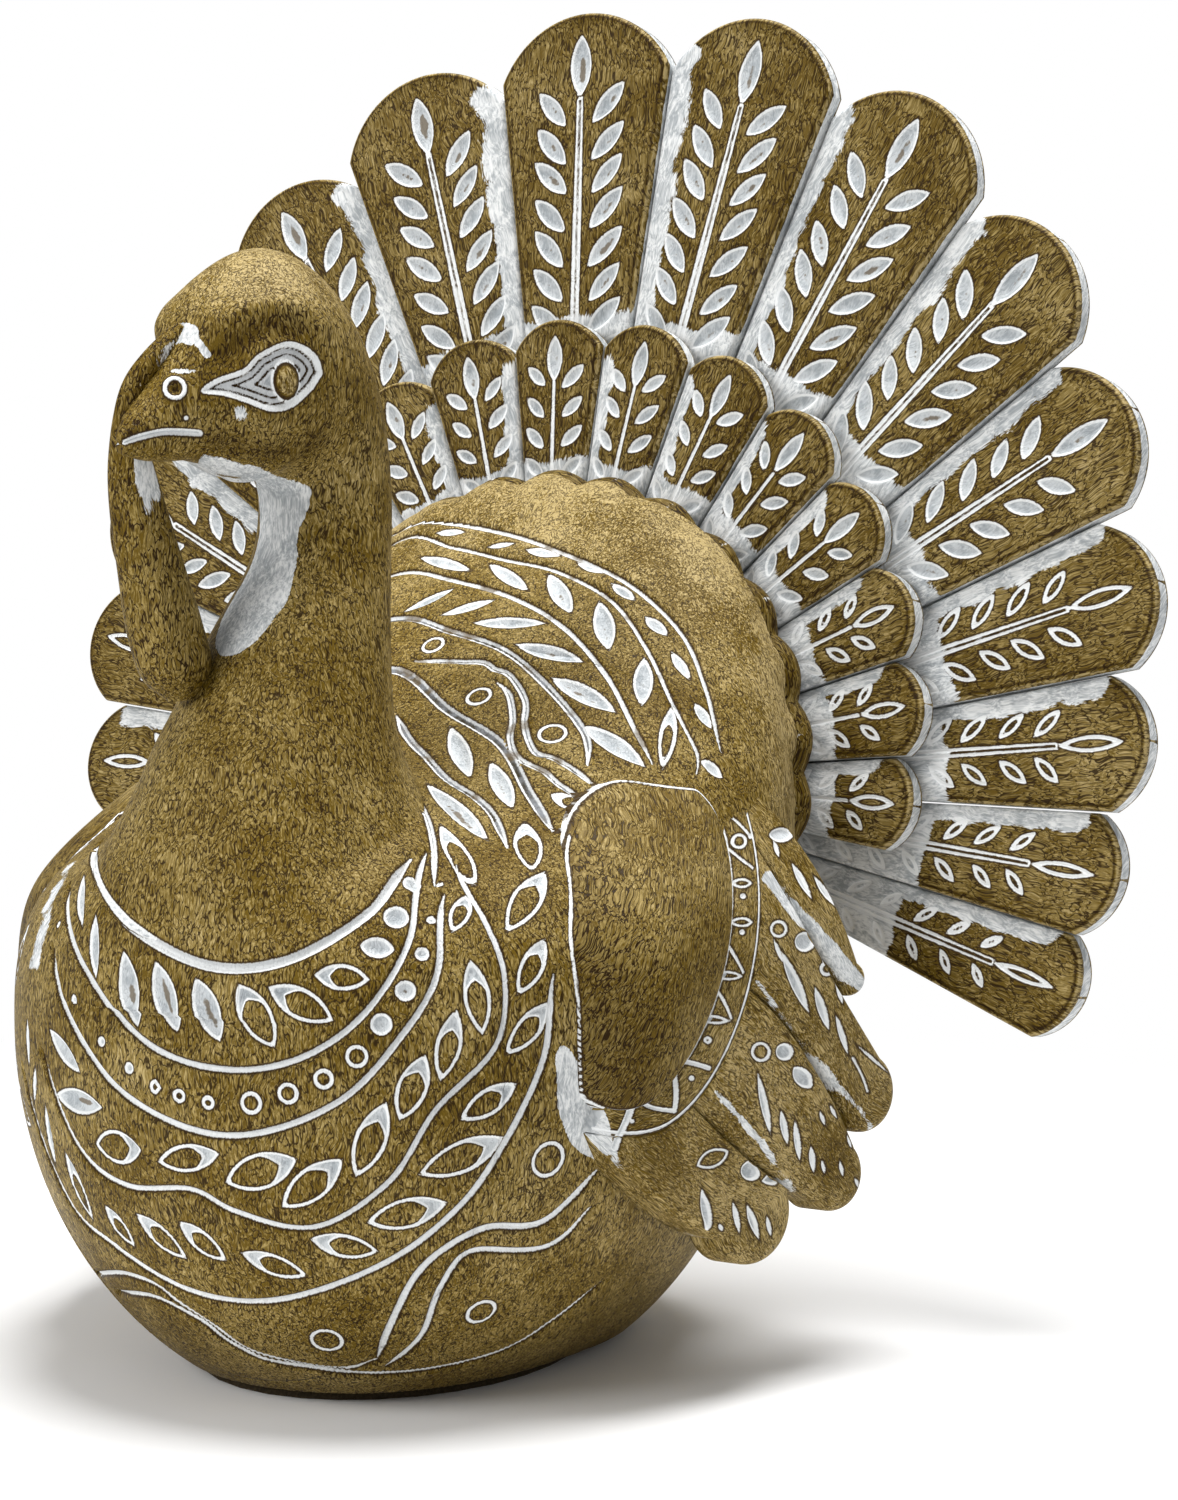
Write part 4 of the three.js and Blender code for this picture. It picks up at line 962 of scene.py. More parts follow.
for i in range(17):
    place = i - 8
    near, far = outerEdge(place - 0.5), outerEdge(place + 0.5)
    turn = (near + far) / 2
    addFeather(f"outer_feather_{i + 1:02d}", outerTip(turn), near, far, place, outerPattern,
               innerTip(turn), i + 1)
for i in range(15):
    place = i - 7
    near, far = (math.radians((place + d) * tail["innerPitch"]) for d in (-0.5, 0.5))
    addFeather(f"inner_feather_{i + 1:02d}", innerTip((near + far) / 2), near, far, place, innerPattern,
               tail["collar"] + 2, i + 31)
print("tail feathers made")


# Turned shapes about the tail's axis: profile rows of (radius, depth)
def turned(profile, columns):
    rows = np.asarray(profile, float)
    angle = np.linspace(0, 2 * math.pi, columns, endpoint=False)
    return np.stack([rows[:, :1] * np.sin(angle), np.broadcast_to(rows[:, 1:], (len(rows), columns)),
                     rows[:, :1] * np.cos(angle)], -1)


# Hub: tenon in the body, core under the feathers and a domed cover behind
def buildHub():
    face, edge, core = depths["coverFace"], tail["cover"], tail["hub"]
    foot = depths["bodyRear"] - tail["tenon"]
    rim, bevel, nick = 2, 0.6, 0.3
    rise = tail["coverThickness"] + tail["coverDome"] - rim
    bow = np.linspace(0, 1, 24) * 1.55  # a little short of the pole
    dome = [(edge * math.cos(t) + 0.01, face + rim + rise * math.sin(t)) for t in bow]
    profile = [(0.5, foot), (core - bevel, foot), (core, foot + bevel), (core, face - nick),
               (core + nick, face), (edge - bevel, face), (edge, face + bevel)] + dome
    grid = fromTail(turned(profile, 128))
    addPiece("tail_hub_finish", grid, ["tail_hub"], "back_resin", backResin)


# Collar: a disc with a rounded scalloped rim; the section runs round, the rows go round the axis
def buildCollar():
    angle = np.linspace(0, 2 * math.pi, 14 * scallops, endpoint=False)
    edge = collarEdge(angle)[:, None]
    inner = tail["hub"] + tail["glueLine"]
    front, back = depths["collarFace"], depths["collarBack"]
    bend = np.linspace(-math.pi / 2, math.pi / 2, 18)
    half, rim, steps = (back - front) / 2, 3, 9
    plate = inner + (edge - rim - inner) * np.linspace(0, 1, steps + 1)[:-1]
    radius = np.concatenate([plate, edge - rim + rim * np.cos(bend), plate[:, ::-1]], axis=1)
    depth = np.concatenate([np.full(steps, front), front + half + half * np.sin(bend), np.full(steps, back)])
    grid = np.stack([radius * np.sin(angle)[:, None], np.broadcast_to(depth, radius.shape),
                     radius * np.cos(angle)[:, None]], -1)
    phase = angle * scallops / (2 * math.pi)
    crest = np.abs(phase - np.floor(phase) - 0.5) * 2  # 1 at the middle of a scallop, 0 between two
    wash = 0.4 * smoothStep(crest, 0.75, 1.0)[:, None] * np.ones(radius.shape)
    addPiece("rump_collar_finish", fromTail(grid), ["rump_collar"], "rim_resin", rimResin, closed=True,
             wash=wash, worn=-0.35)


buildHub()
buildCollar()
print("hub and collar made")

# Wings: laid out flat (to the rear, up, out) round the shoulder's middle, then laid on the body's side
wing = {
    "forward": 19, "height": 82, "face": 65.5, "flare": 0.27, "lean": 0.06, "wrap": 0.03,
    "sweep": 0.9, "sweepEase": 8, "sweepWay": (0.498, 0.863, 0.087),
    "nestle": 0.00067, "nestleFrom": 10,
    "shield": (15.5, 26, 4.5), "shieldFront": 17.2, "shieldFull": 0.45, "drop": 4, "tilt": math.radians(-20),
    "depth": 32.75, "band": 8, "bandFrom": -112, "bandTo": 48, "thickness": 7, "seam": 0.3,
    "domeRows": 60, "skirtRows": 30, "columns": 160, "grainSlant": math.radians(-18),
    "rimLine": (0.3, 0.22), "bodyLine": (0.4, 0.3), "lineFoot": -6.0,  # white lines: place and half width
    "bandLine": (0.7, 0.6, 0.28), "bandChip": (0.5, 0.8), "flightChip": (0.6, 0.8),
    "flightRound": (0.3, 2.2), "flightOut": (24, 50),  # edge radius, its gain, and where
    "flightRows": (92, 30), "flightColumns": (72, 4, 10), "flightGap": 0.05, "flightRim": 0.6, "arcFade": 1.4,
    "bandRows": 260, "bandColumns": (52, 6, 6), "bandSwell": 0.5, "leafLine": 0.45, "dotLine": 0.55,
    # painted light, paler towards the shield's top; then darker towards its front
    "paintedTopLight": (0.12, 4, 24), "frontDark": (0.4, 0.3, 2, 16),  # the second number slants it
    "flights": [(16, 42, -15, 53, 3.2, 8, 0), (-26, 15, -33.7, 67.5, 7.2, 0, 5.4),
                (-68, -26.5, -48.5, 69, 6.6, 5.4, -2), (-111, -68.5, -68, 63, 9, -1, -5)],
}


def onSide(rear, up, out, side):
    face = wing["face"] + wing["flare"] * rear - wing["lean"] * up - wing["wrap"] * np.minimum(0, rear) ** 2
    sweep = wing["sweep"] * (up + np.hypot(up, wing["sweepEase"])) / 2
    inward, back, down = (share * sweep for share in wing["sweepWay"])
    nestle = wing["nestle"] * np.maximum(0, up) ** 2 * np.maximum(0, wing["nestleFrom"] - rear)
    return np.stack([side * (face + out - inward - nestle), rear - wing["forward"] + back,
                     up + wing["height"] - down], -1)


def tilted(x, y):
    return rotate(x, y, wing["tilt"])


# A point of the oval round the shoulder, outside it by an offset
def oval(offset, angle):
    turn = np.radians(angle) - wing["tilt"]
    return tilted((wing["shield"][0] + offset) * np.cos(turn), (wing["shield"][1] + offset) * np.sin(turn))


# Carving of the wing, as pixels of the photograph: lines, leaves and dots as on the body
wingLines = [
    (1.3, [(633, 1097), (625, 1118), (615, 1148)]), (0.8, [(633, 1097), (649, 1107), (673, 1111)]),
    (0.9, [(673, 1058), (674, 1085), (673, 1108)]), (0.9, [(676, 1060), (691, 1063), (707, 1068)]),
    (0.5, [(729, 1018), (721, 999), (712, 980)]), (0.5, [(741, 972), (732, 954), (723, 936)]),
    (0.5, [(723, 936), (719, 952), (716, 969)]), (0.5, [(751, 868), (739, 859), (728, 849)]),
    (0.5, [(749, 836), (736, 823), (721, 810)]), (0.6, [(830, 883), (843, 909), (857, 939)]),
    (0.45, [(812, 939), (848, 999), (882, 1048)]), (0.45, [(853, 1058), (862, 1075), (868, 1092)]),
]
wingLeaves = [
    (695, 1018, 728, 1021, 1.6, 1), (712, 975, 741, 976, 1.7, 1), (729, 922, 751, 922, 1.8, 1),
    (730, 883, 750, 883, 1.8, 1), (769, 835, 794, 835, 2.7, 0), (792, 863, 812, 899, 1.3, 0),
    (814, 876, 835, 906, 1.2, 0), (774, 841, 779, 857, 0.8, 0), (802, 841, 818, 864, 1.0, 0),
    (782, 952, 809, 1013, 1.9, 0), (815, 987, 829, 1030, 1.6, 0), (836, 1015, 848, 1054, 1.1, 0),
    (774, 939, 783, 962, 0.8, 0), (837, 982, 843, 1004, 1.0, 0), (882, 1025, 893, 1057, 0.7, 0),
    (857, 1045, 888, 1072, 0.6, 0), (758, 1073, 771, 1135, 1.4, 0), (781, 1110, 788, 1145, 1.3, 0),
    (795, 1120, 800, 1161, 1.2, 0), (811, 1146, 814, 1173, 1.1, 0), (794, 1067, 812, 1088, 3.0, 0),
    (820, 1111, 825, 1125, 0.7, 0), (830, 1105, 837, 1118, 0.7, 0), (848, 1135, 852, 1148, 0.7, 0),
    (822, 1160, 825, 1174, 0.7, 0), (840, 1161, 843, 1176, 0.7, 0), (855, 1178, 860, 1188, 0.7, 0),
    (697, 1166, 729, 1151, 3.3, 1), (702, 1189, 711, 1233, 1.8, 0), (733, 1201, 740, 1234, 1.0, 0),
    (747, 1204, 759, 1239, 1.4, 0), (767, 1216, 771, 1236, 0.8, 0), (762, 1181, 785, 1179, 1.9, 0),
    (719, 1224, 723, 1231, 0.7, 0),
]
wingDots = [
    (779, 929, 1.6, 1), (805, 942, 1.8, 0), (827, 969, 1.3, 1), (761, 1052, 1.8, 1), (785, 1052, 1.6, 0),
    (751, 1171, 1.8, 0), (737, 841, 1.4, 1), (726, 800, 0.7, 1), (749, 803, 0.5, 0), (749, 836, 0.5, 0),
    (741, 896, 0.5, 0), (740, 932, 0.5, 0), (706, 1040, 0.7, 1), (689, 1078, 0.5, 0), (630, 1121, 0.4, 0),
    (641, 1182, 0.6, 0),
]
# White brushed along the steps between the flight feathers: width, strength, path
wingSteps = [
    (1.5, 1.1, [(768, 878), (800, 915), (832, 950), (862, 985)]),
    (0.9, 0.62, [(757, 982), (800, 1035), (840, 1085), (873, 1128)]),
    (0.9, 0.62, [(716, 1092), (750, 1130), (780, 1168), (812, 1205)]),
    (0.7, 0.8, [(610, 1145), (628, 1172), (645, 1192)]),
]


# Both wings are cut as the left one shows itself to the camera
def wingCarving(rear, up):
    at = toPixels(onSide(rear, up, 0.0 * rear, 1)) * pixelSize
    flat = at.reshape(-1, 2)
    carve, ring = np.full(len(flat), clear), np.full(len(flat), whole)

    def cut(found, outline):
        nearer = found < carve
        return np.where(nearer, found, carve), np.where(nearer, outline, ring)

    for width, pixels in wingLines:
        path = smoothRow(np.array(pixels) * pixelSize, np.linspace(0, 1, 12))
        carve, ring = cut(pathDistance(flat, path) - width / 2, whole)
    for x0, y0, x1, y1, width, outline in wingLeaves:
        start, end = np.array([x0, y0]) * pixelSize, np.array([x1, y1]) * pixelSize
        axis, half = unit(end - start), np.linalg.norm(end - start) / 2
        off = flat - (start + end) / 2
        leaf = leafDistance(off @ axis, off @ np.array([-axis[1], axis[0]]), half, width / 2)
        carve, ring = cut(leaf, wing["leafLine"] if outline else whole)
    for x, y, radius, outline in wingDots:
        carve, ring = cut(np.linalg.norm(flat - np.array([x, y]) * pixelSize, axis=1) - radius,
                          wing["dotLine"] if outline else whole)
    brush = brushedPatch(flat)
    for width, strength, pixels in wingSteps:
        path = smoothRow(np.array(pixels) * pixelSize, np.linspace(0, 1, 16))
        brush = np.maximum(brush, strength * hump(pathDistance(flat, path), width))
    return [values.reshape(rear.shape) for values in (carve, ring, brush)]


# Way up a surface from the body's skin: height along the nearest normal, over the sine between the normals
def overBody(points, normals):
    flank, every, batches, least = 20, 17, 40, 0.03
    near = bodyPoints[:, 0] * np.sign(points[:, 0].mean()) > flank
    skin, out = bodyPoints[near][::every], bodyOut[near][::every]
    nearest = np.concatenate([np.argmin(((part[:, None] - skin) ** 2).sum(-1), axis=1)
                              for part in np.array_split(points, batches)])
    height = ((points - skin[nearest]) * out[nearest]).sum(-1)
    slope = np.sqrt(np.maximum(least, 1 - (normals * out[nearest]).sum(-1) ** 2))
    return height / slope


# Shoulder: x = a r cos t, y = b r sin t less the drop, out = h sqrt(1 - r^2), then a skirt into the body
def buildShield(side, name):
    halfWidth, halfHeight, dome = wing["shield"]
    bow = np.linspace(0.02, math.pi / 2, wing["domeRows"])
    turn = np.linspace(0, 2 * math.pi, wing["columns"], endpoint=False)
    skirt = np.linspace(0, wing["depth"] - 1, wing["skirtRows"] + 1)[1:]
    radius = np.concatenate([np.sin(bow), np.ones(len(skirt))])[:, None]
    out = np.concatenate([dome * np.cos(bow), -skirt])[:, None] * np.ones(len(turn))
    unitBack, unitUp = radius * np.cos(turn), radius * np.sin(turn)
    front = wing["shieldFront"] * (1 + wing["shieldFull"] * np.maximum(0, unitUp) ** 2)
    x = unitBack * np.where(unitBack < 0, front, halfWidth)
    y = halfHeight * unitUp - wing["drop"] * np.maximum(0, -unitUp) ** 4
    rear, up = tilted(x, y)
    grid = onSide(rear, up, out, side)
    edge = np.concatenate([(math.pi / 2 - bow) * dome, skirt * 0])[:, None]  # along the dome from its rim
    meets = overBody(grid.reshape(-1, 3), gridNormals(grid).reshape(-1, 3)).reshape(out.shape)
    lines = [np.abs(distance - middle) - half for distance, (middle, half)
             in ((edge, wing["rimLine"]), (meets, wing["bodyLine"]))]
    carve = np.where(out < wing["lineFoot"], clear, np.minimum(*lines))
    # painted light: paler towards the shield's top
    strength, start, end = wing["paintedTopLight"]
    worn = strength * smoothStep(up, start, end)
    strength, slant, start, end = wing["frontDark"]
    worn = worn - strength * smoothStep(-rear - slant * up, start, end)
    wide = np.concatenate([rear, rear[:, :1]], axis=1)
    tall = np.concatenate([up, up[:, :1]], axis=1)
    grain = np.stack(rotate(wide, tall, -wing["grainSlant"]), -1)
    addPiece(f"{name}_wing_shield_finish", grid, [f"{name}_wing_shield"], "plain_resin", wingResin, grain,
             carve=carve, worn=worn)


# Band: rows along the oval, columns round the section
def buildBand(side, name):
    angle = np.linspace(wing["bandFrom"], wing["bandTo"], wing["bandRows"])[:, None]
    s, layer = sectionColumns(*wing["bandColumns"])
    offset = wing["seam"] + (wing["band"] - wing["seam"]) * (s + 1) / 2
    rear, up = oval(offset[None, :], angle)
    inner, outer, half = wing["bandLine"]
    edges = np.minimum(np.abs(offset - inner), np.abs(offset - wing["band"] + outer)) - half
    carve, ring, brush = wingCarving(rear, up)
    ring = np.where(edges[None, :] < ringOf(carve, ring), whole, ring)
    carve = np.minimum(carve, edges[None, :])
    cuts = chipped(ringOf(carve, ring), *wing["bandChip"])
    out = np.where(layer == 0, wing["bandSwell"] * (1 - s ** 2) + cuts, -wing["depth"] * layer)
    grid = onSide(rear, up, out, side)
    wash = np.where(layer == 0, brush, 0.4)
    addPiece(f"{name}_wing_band_finish", grid, [f"{name}_wing_band"], "carved_resin", wingResin,
             carve=np.where(layer == 0, carve, clear), ring=ring, wash=wash, worn=0.1)


# Flight feather: a patch between a lower and an upper edge, from the band's arc to a round tip
def buildFlight(side, name, number, values):
    lower, upper, direction, distance, tipRadius, rise, lowRise = values
    turn = math.radians(direction)
    inset = math.degrees(wing["flightGap"] / (wing["shield"][0] + wing["band"]))
    reach = distance - tipRadius
    middle = np.array([reach * math.cos(turn), reach * math.sin(turn)])
    root = wing["band"] + wing["seam"]
    arcFrom, arcTo = np.array(oval(root, lower + inset)), np.array(oval(root, upper - inset))
    straightRows, tipRows = wing["flightRows"]
    share = np.linspace(0, 1, straightRows, endpoint=False)[:, None]
    lowEnd = middle + tipRadius * np.array([math.sin(turn), -math.cos(turn)])
    highEnd = middle - tipRadius * np.array([math.sin(turn), -math.cos(turn)])
    bend = np.radians(np.linspace(90, 4, tipRows))[:, None]

    # an edge from the band to the tip rises over its straight line as a quadratic curve
    def sideOf(start, end, lift, sense):
        edge = end - start
        control = (start + end) / 2 + unit(np.array([-edge[1], edge[0]])) * lift
        curve = (1 - share) ** 2 * start + 2 * share * (1 - share) * control + share ** 2 * end
        ends = np.concatenate([np.cos(turn + sense * bend), np.sin(turn + sense * bend)], 1)
        return np.concatenate([curve, middle + tipRadius * ends])

    lowSide, highSide = sideOf(arcFrom, lowEnd, lowRise, -1), sideOf(arcTo, highEnd, rise, 1)
    s, layer = sectionColumns(*wing["flightColumns"])
    t = ((s + 1) / 2)[None, :, None]
    arc = np.stack(oval(root, lower + inset + (upper - lower - 2 * inset) * t[0, :, 0]), -1)
    fade = np.clip(1 - np.linspace(0, wing["arcFade"], len(lowSide)), 0, 1)[:, None, None] ** 2
    flat = lowSide[:, None] * (1 - t) + highSide[:, None] * t
    flat = flat + fade * (arc - (arcFrom * (1 - t[0]) + arcTo * t[0]))[None]
    width = np.linalg.norm(highSide - lowSide, axis=1)[:, None]
    toEdge = (1 - np.abs(s)) / 2 * width
    toTip = tipRadius - np.linalg.norm(flat - middle, axis=2)
    ahead = (flat - middle) @ np.array([math.cos(turn), math.sin(turn)])
    rim = np.clip(np.minimum(toEdge, np.where(ahead > 0, toTip, np.inf)), 0, None)
    # the sides are flush at the band and round off towards the tip
    outward = smoothStep(np.linalg.norm(flat, axis=2), *wing["flightOut"])
    atBand, gain = wing["flightRound"]
    fall = atBand + gain * outward
    drop = fall * (1 - np.sqrt(np.clip(1 - np.clip(1 - rim / fall, 0, 1) ** 2, 0, 1)))
    carve, ring, brush = wingCarving(flat[..., 0], flat[..., 1])
    carve = np.where(rim > wing["flightRim"], carve, clear)
    cuts = chipped(ringOf(carve, ring), *wing["flightChip"])
    out = np.where(layer == 0, cuts - drop, -wing["thickness"] * layer - drop * (1 - layer))
    grid = onSide(flat[..., 0], flat[..., 1], out, side)
    onFace = layer == 0
    wash = np.where(onFace, brush, 0.3 * outward * (layer < 1))
    node = f"{name}_flight_feather_{number}"
    addPiece(node + "_finish", grid, [node], "carved_resin", wingResin,
             carve=np.where(onFace, carve, clear), ring=ring, wash=wash, worn=0.22)


for side, name in ((1, "left"), (-1, "right")):
    buildShield(side, name)
    buildBand(side, name)
    for number, values in enumerate(wing["flights"], 1):
        buildFlight(side, name, number, values)
print("wings made")


def headSurface():
    share = np.linspace(0, 1, head["rows"])
    forward, height, slope, halfDepth, halfWidth = smoothRow(head["stations"], share).T[:, :, None]
    turn = np.linspace(0, 2 * math.pi, head["columns"], endpoint=False)
    back, across = halfDepth * np.cos(turn), halfWidth * np.sin(turn)
    lean = np.radians(slope)
    return np.stack([-across, -(forward - back * np.cos(lean)), height + back * np.sin(lean)], -1)


# The head's features, as pixels of the photograph
face = {
    "pixel": 0.165,  # millimetres
    "eye": [(201, 392), (215, 379), (243, 369), (260, 353), (290, 341), (314, 353), (323, 371), (319, 380),
            (310, 392), (290, 407), (269, 410), (245, 402), (224, 396)],
    "iris": (287, 381), "irisHalf": (11.4, 16.5), "lids": (6.0, 12.5, 20.0),
    "underEye": (240, 411), "nostril": (175, 389), "drip": (186, 418), "ridge": [(172, 371), (196, 371)],
    "mouth": [(120, 444), (140, 437), (167, 432), (200, 434)],
    "cere": [(173, 335), (181, 332), (189, 334)], "cereTail": [(189, 336), (198, 342), (207, 354)],
    "jaw": [(205, 461), (240, 470), (275, 481), (303, 493)],
    "brow": [(224, 322), (250, 312), (292, 310), (312, 326)],
    "hollow": [(226, 352), (250, 333), (275, 325), (300, 330)],
    "cheek": (262, 432), "jowl": [(214, 440), (255, 446), (300, 450), (318, 438)],
    "throat": [(250, 462), (306, 493), (305, 515), (299, 530), (296, 563), (283, 606), (250, 645), (222, 657),
               (200, 640), (215, 600), (238, 560), (248, 520), (240, 480)],
    "beakTip": (130, 434), "nostrilRim": (1.6, 0.35), "mouthHalf": 0.6, "dripRadius": 0.4,
    "ball": (1.1, 2.2), "socket": (0.7, 1.2), "lidHalf": 0.14, "lidSink": 0.35, "lidGap": 0.6,
    # painted highlight on the crown: strength and the heights over which it comes in
    "paintedCrownLight": (0.35, 181, 192), "filletTop": 135, "bibTop": 105,
    "seen": (0.02, 0.2), "cutSeen": 0.03,  # cosines towards the camera
    "nostrilLip": (0.5, 0.6), "eyeWhite": 0.35, "pupil": (0.5, -0.25), "irisLine": (3.0, 0.05, 0.2),
    "throatWash": (1.1, -0.8, 0.8), "cereWash": (1.2, 1.7), "darkening": 0.5,
    "lidGrey": (0.75, (0.5, 1.4), (0.5, 0.9)),  # greyer paint inside the lids: strength, and where
    # height or strength of a hump, and its width
    "relief": {"brow": (1.3, 3.2), "cheek": (1.2, 7.0), "hollow": (-0.9, 2.4), "mouth": (-0.8, 0.7),
               "nostril": (-0.5, 0.7)},
    "washed": {"cereTail": (1.1, 0.6), "ridge": (0.55, 0.6), "underEye": (0.75, 1.6), "jaw": (1.1, 1.5)},
    # painted shade under the brow ridge (hollow) and under the cheek (jowl), and a darker beak tip and
    # nostril middle
    "paintedShadeAndDark": {"hollow": (1.0, 2.0), "jowl": (1.0, 2.4), "beakTip": (1.0, 2.4), "nostril": (2.5, 0.6)},
}


def buildHead():
    local = headSurface()
    normals = gridNormals(local)
    fold = np.where(local[..., :1] < 0, mirror, 1)  # both sides read as the left one
    world = fromNeck(local * fold)
    worldOut = fromNeck(normals * fold) - fromNeck(np.zeros(3))
    facing = np.sum(worldOut * unit(cameraPlace - world), axis=-1)
    flat = toPixels(world).reshape(-1, 2) * face["pixel"]
    shape = local.shape[:2]

    def spot(pixel):
        return np.linalg.norm(flat - np.array(pixel) * face["pixel"], axis=1).reshape(shape)

    def trace(pixels):
        path = smoothRow(np.array(pixels) * face["pixel"], np.linspace(0, 1, 10 * len(pixels)))
        return pathDistance(flat, path).reshape(shape)

    def region(pixels):
        return regionDistance(flat, np.array(pixels, float) * face["pixel"]).reshape(shape)

    places = ("brow", "cheek", "hollow", "mouth", "nostril", "drip", "jowl", "beakTip", "cere", "cereTail",
              "ridge", "underEye", "jaw")
    away = {key: trace(face[key]) if isinstance(face[key], list) else spot(face[key]) for key in places}

    def humps(kind):
        return [strength * hump(away[key], width) for key, (strength, width) in face[kind].items()]

    eye = region(face["eye"])
    across, up = ((flat / face["pixel"] - np.array(face["iris"])) / np.array(face["irisHalf"])).T
    ballHeight, ballWidth = face["ball"]
    iris = ((np.hypot(across, up) - 1) * ballWidth).reshape(shape)
    lids = np.minimum.reduce([np.abs(eye + width * face["pixel"]) for width in face["lids"]])
    lids = np.where(iris < face["lidGap"], -clear, face["lidHalf"] - lids)
    rim, rimHalf = face["nostrilRim"]
    socketDepth, socketWidth = face["socket"]
    lipHeight, lipWidth = face["nostrilLip"]
    bulge = (sum(humps("relief")) + ballHeight * hump(np.maximum(iris + ballWidth, 0), ballWidth, 4)
             - socketDepth * smoothStep(-eye, 0, socketWidth) - face["lidSink"] * smoothStep(lids, -0.1, 0.15)
             + lipHeight * hump(away["nostril"] - rim, lipWidth))
    seen = smoothStep(facing, *face["seen"])
    bulge = bulge * seen + fillet(fromBodySkin(fromNeck(local))) * (local[..., 2] < face["filletTop"])
    grid = fromNeck(local + normals * bulge[..., None])
    eyePaint = np.maximum.reduce([eye, face["eyeWhite"] - iris, lids])
    carve = np.minimum.reduce([eyePaint, np.abs(away["nostril"] - rim) - rimHalf,
                               away["mouth"] - face["mouthHalf"], away["drip"] - face["dripRadius"]])
    # the bib's line where it runs over the foot of the neck
    bib = fromFront(smoothRow(grooves["bib"][1], np.linspace(0, 1, 60)))
    nearest = np.argmin(np.sum((bodyPoints[:, None] - bib[::6]) ** 2, axis=2), axis=0)
    bibOut = smoothRow(bodyOut[nearest], np.linspace(0, 1, 60))
    bib = bib + bibOut * fillet(fromNeckSkin(bib))[:, None]
    foot = np.flatnonzero((local[..., 2] < face["bibTop"]).ravel())
    bibLine = np.full(local.size // 3, clear)
    bibLine[foot] = pathDistance(grid.reshape(-1, 3)[foot], bib) - grooves["bib"][0] / 2
    bibLine = bibLine.reshape(shape)
    strength, start, end = face["throatWash"]
    throat = strength * smoothStep(-region(face["throat"]), start, end)
    strength, width = face["cereWash"]
    wash = np.maximum.reduce([throat, strength * hump(away["cere"], width, 4), *humps("washed")])
    # darker: painted shade under the brow and cheek, the beak tip, the nostril, and the line round the iris
    strength, outside, width = face["irisLine"]
    dark = np.maximum.reduce([*humps("paintedShadeAndDark"), strength * hump(iris - outside, width)])
    strength, inEye, offIris = face["lidGrey"]
    lidGreying = strength * smoothStep(-eye, *inEye) * smoothStep(iris, *offIris)
    strength, within = face["pupil"]
    worn = (strength * (iris < within) - face["darkening"] * dark - lidGreying) * seen
    # painted highlight: paler towards the top of the head
    strength, start, end = face["paintedCrownLight"]
    worn = worn + strength * smoothStep(local[..., 2], start, end)
    carve = np.minimum(np.where(facing < face["cutSeen"], clear, carve), bibLine)
    values = {"carve": carve, "wash": wash * seen, "worn": worn}
    split = head["split"]
    for name, part in (("neck_finish", slice(0, split + 1)), ("head_finish", slice(split, None))):
        addPiece(name, grid[part], ["head_and_neck"], "plain_resin", plainResin,
                 **{key: value[part] for key, value in values.items()})


# Snood: a round lobe along its stations, with shallow folds along it
snood = {
    "stations": [(23.5, -0.5, 182, 1.7), (28.4, -2.3, 177, 1.9), (31.2, -3.8, 172.3, 2.1),
                 (31.6, -5.2, 166.5, 2.5), (30, -6.5, 160, 3.7), (28.3, -6.9, 153, 4.6), (26, -6.8, 144, 5.4),
                 (23, -6.5, 132.5, 6.3), (20.5, -6.2, 125, 5.8), (19.5, -6, 120.5, 2.5)],
    "rows": 150, "columns": 64, "folds": 5, "foldDepth": 0.03,
    # white on one side: strength, cosines, heights where it comes in, and a share less by heights
    "wash": 0.85, "washSide": (0.7, 0.98), "washFrom": (140, 160), "washTop": (0.45, 163, 170),
}


def buildSnood():
    forward, across, height, radius = smoothRow(snood["stations"], np.linspace(0, 1, snood["rows"])).T
    path = np.stack([across, -forward, height], -1)
    tangent = unit(np.gradient(path, axis=0))
    depth = unit(np.cross(tangent, np.array([1.0, 0, 0])))
    width = np.cross(depth, tangent)
    turn = np.linspace(0, 2 * math.pi, snood["columns"], endpoint=False)
    reach = radius[:, None] * (1 - snood["foldDepth"] * np.cos(snood["folds"] * turn))
    local = (path[:, None] + width[:, None] * (reach * np.cos(turn))[..., None]
             + depth[:, None] * (reach * np.sin(turn))[..., None])
    side = smoothStep(np.cos(turn), *snood["washSide"])[None, :]
    wash = side * smoothStep(height, *snood["washFrom"])[:, None]
    less, start, end = snood["washTop"]
    wash = snood["wash"] * wash * (1 - less * smoothStep(height, start, end))[:, None]
    addPiece("snood_finish", fromNeck(local), ["snood"], "plain_resin", plainResin,
             wash=wash, worn=-0.1)


buildHead()
buildSnood()
print("head and snood made")

# Floor, backdrop light and camera
floorMesh = bpy.data.meshes.new("floor")
floorMesh.from_pydata([(-40, -40, 0), (40, -40, 0), (40, 40, 0), (-40, 40, 0)], [], [(0, 1, 2, 3)])
floor = bpy.data.objects.new("floor", floorMesh)
scene.collection.objects.link(floor)
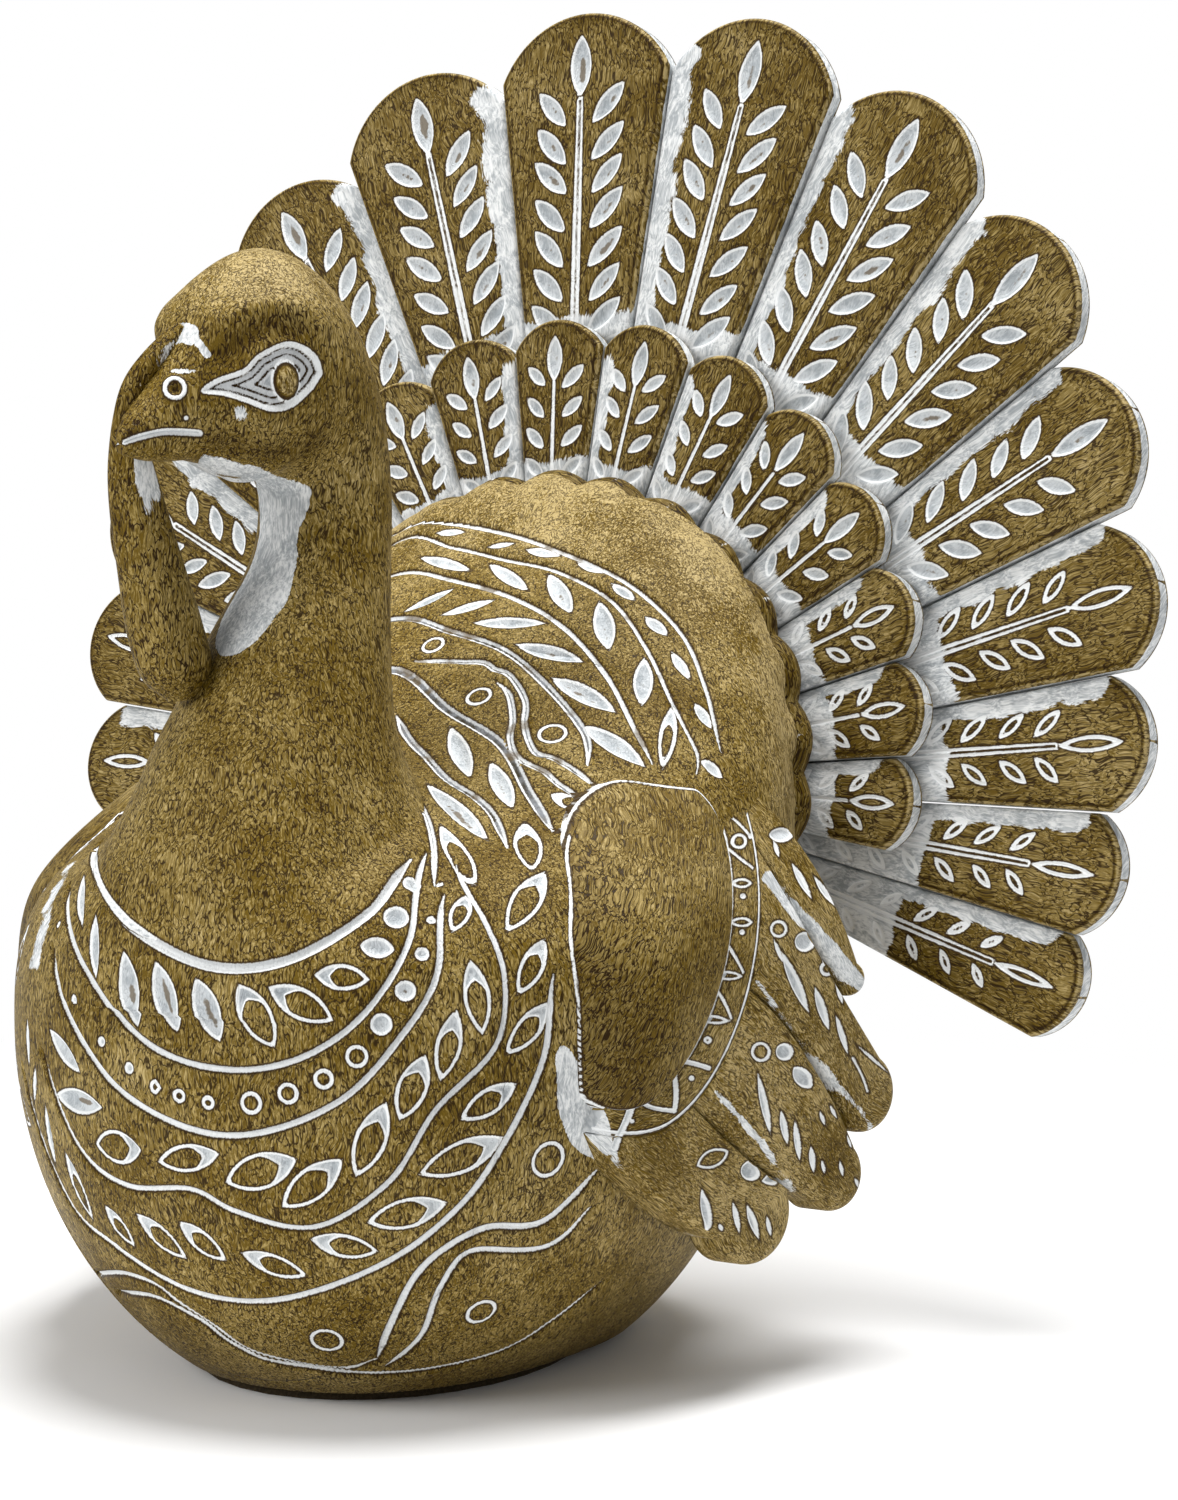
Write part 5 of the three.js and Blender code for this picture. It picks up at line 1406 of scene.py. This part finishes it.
# white paper: shaded near the figure, then fading into the white backdrop
floorShade = Shade(bpy.data.materials.new("floor"))
floorPlace = floorShade.node("ShaderNodeTexCoord", out="Object")
away = floorShade.node("ShaderNodeVectorMath", {"operation": "LENGTH"}, {0: floorPlace}, out="Value")
paper = floorShade.node("ShaderNodeBsdfDiffuse", {}, {"Color": (0.9, 0.9, 0.9, 1)})
glow = floorShade.node("ShaderNodeEmission", {}, {"Color": (1, 1, 1, 1), "Strength": 1.0})
blend = floorShade.node("ShaderNodeMixShader", {}, {0: away.step(0.09, 0.34), 1: paper, 2: glow})
floorShade.node("ShaderNodeOutputMaterial", {}, {"Surface": blend})
floorMesh.materials.append(floorShade.owner)

# The camera sees a white backdrop; the figure is lit by a softer one
studio = Shade(bpy.data.worlds.new("studio"))
scene.world = studio.owner
rays = studio.node("ShaderNodeLightPath", out="Is Camera Ray")
soft, backdrop = (studio.node("ShaderNodeBackground", {}, {"Color": (1, 1, 1, 1), "Strength": strength})
                  for strength in (0.37, 1.0))
choice = studio.node("ShaderNodeMixShader", {}, {0: rays, 1: soft, 2: backdrop})
studio.node("ShaderNodeOutputWorld", {}, {"Surface": choice})


def addLight(name, place, size, power):
    lamp = bpy.data.lights.new(name, "AREA")
    lamp.shape, lamp.size, lamp.energy = "DISK", size, power
    holder = bpy.data.objects.new(name, lamp)
    holder.location = place
    aim = np.array([0, 0, 0.11]) - np.array(place)
    turn = math.atan2(aim[0], -aim[1])
    holder.rotation_euler = (math.acos(-aim[2] / np.linalg.norm(aim)), 0, turn + math.pi)
    scene.collection.objects.link(holder)


addLight("top", (0.1, 0.15, 1.5), 0.9, 30)
addLight("front", (-0.7, -1.3, 0.9), 0.9, 15)

camera = bpy.data.objects.new("camera", bpy.data.cameras.new("camera"))
camera.data.lens = photo["lens"]
camera.data.sensor_fit, camera.data.sensor_height = "VERTICAL", photo["sensor"]
camera.location = cameraPlace * metres
camera.rotation_euler = (math.radians(90 - photo["elevation"]), 0, math.radians(photo["azimuth"]))
camera.data.clip_start = 0.01
scene.collection.objects.link(camera)
scene.camera = camera

print("scene ready")
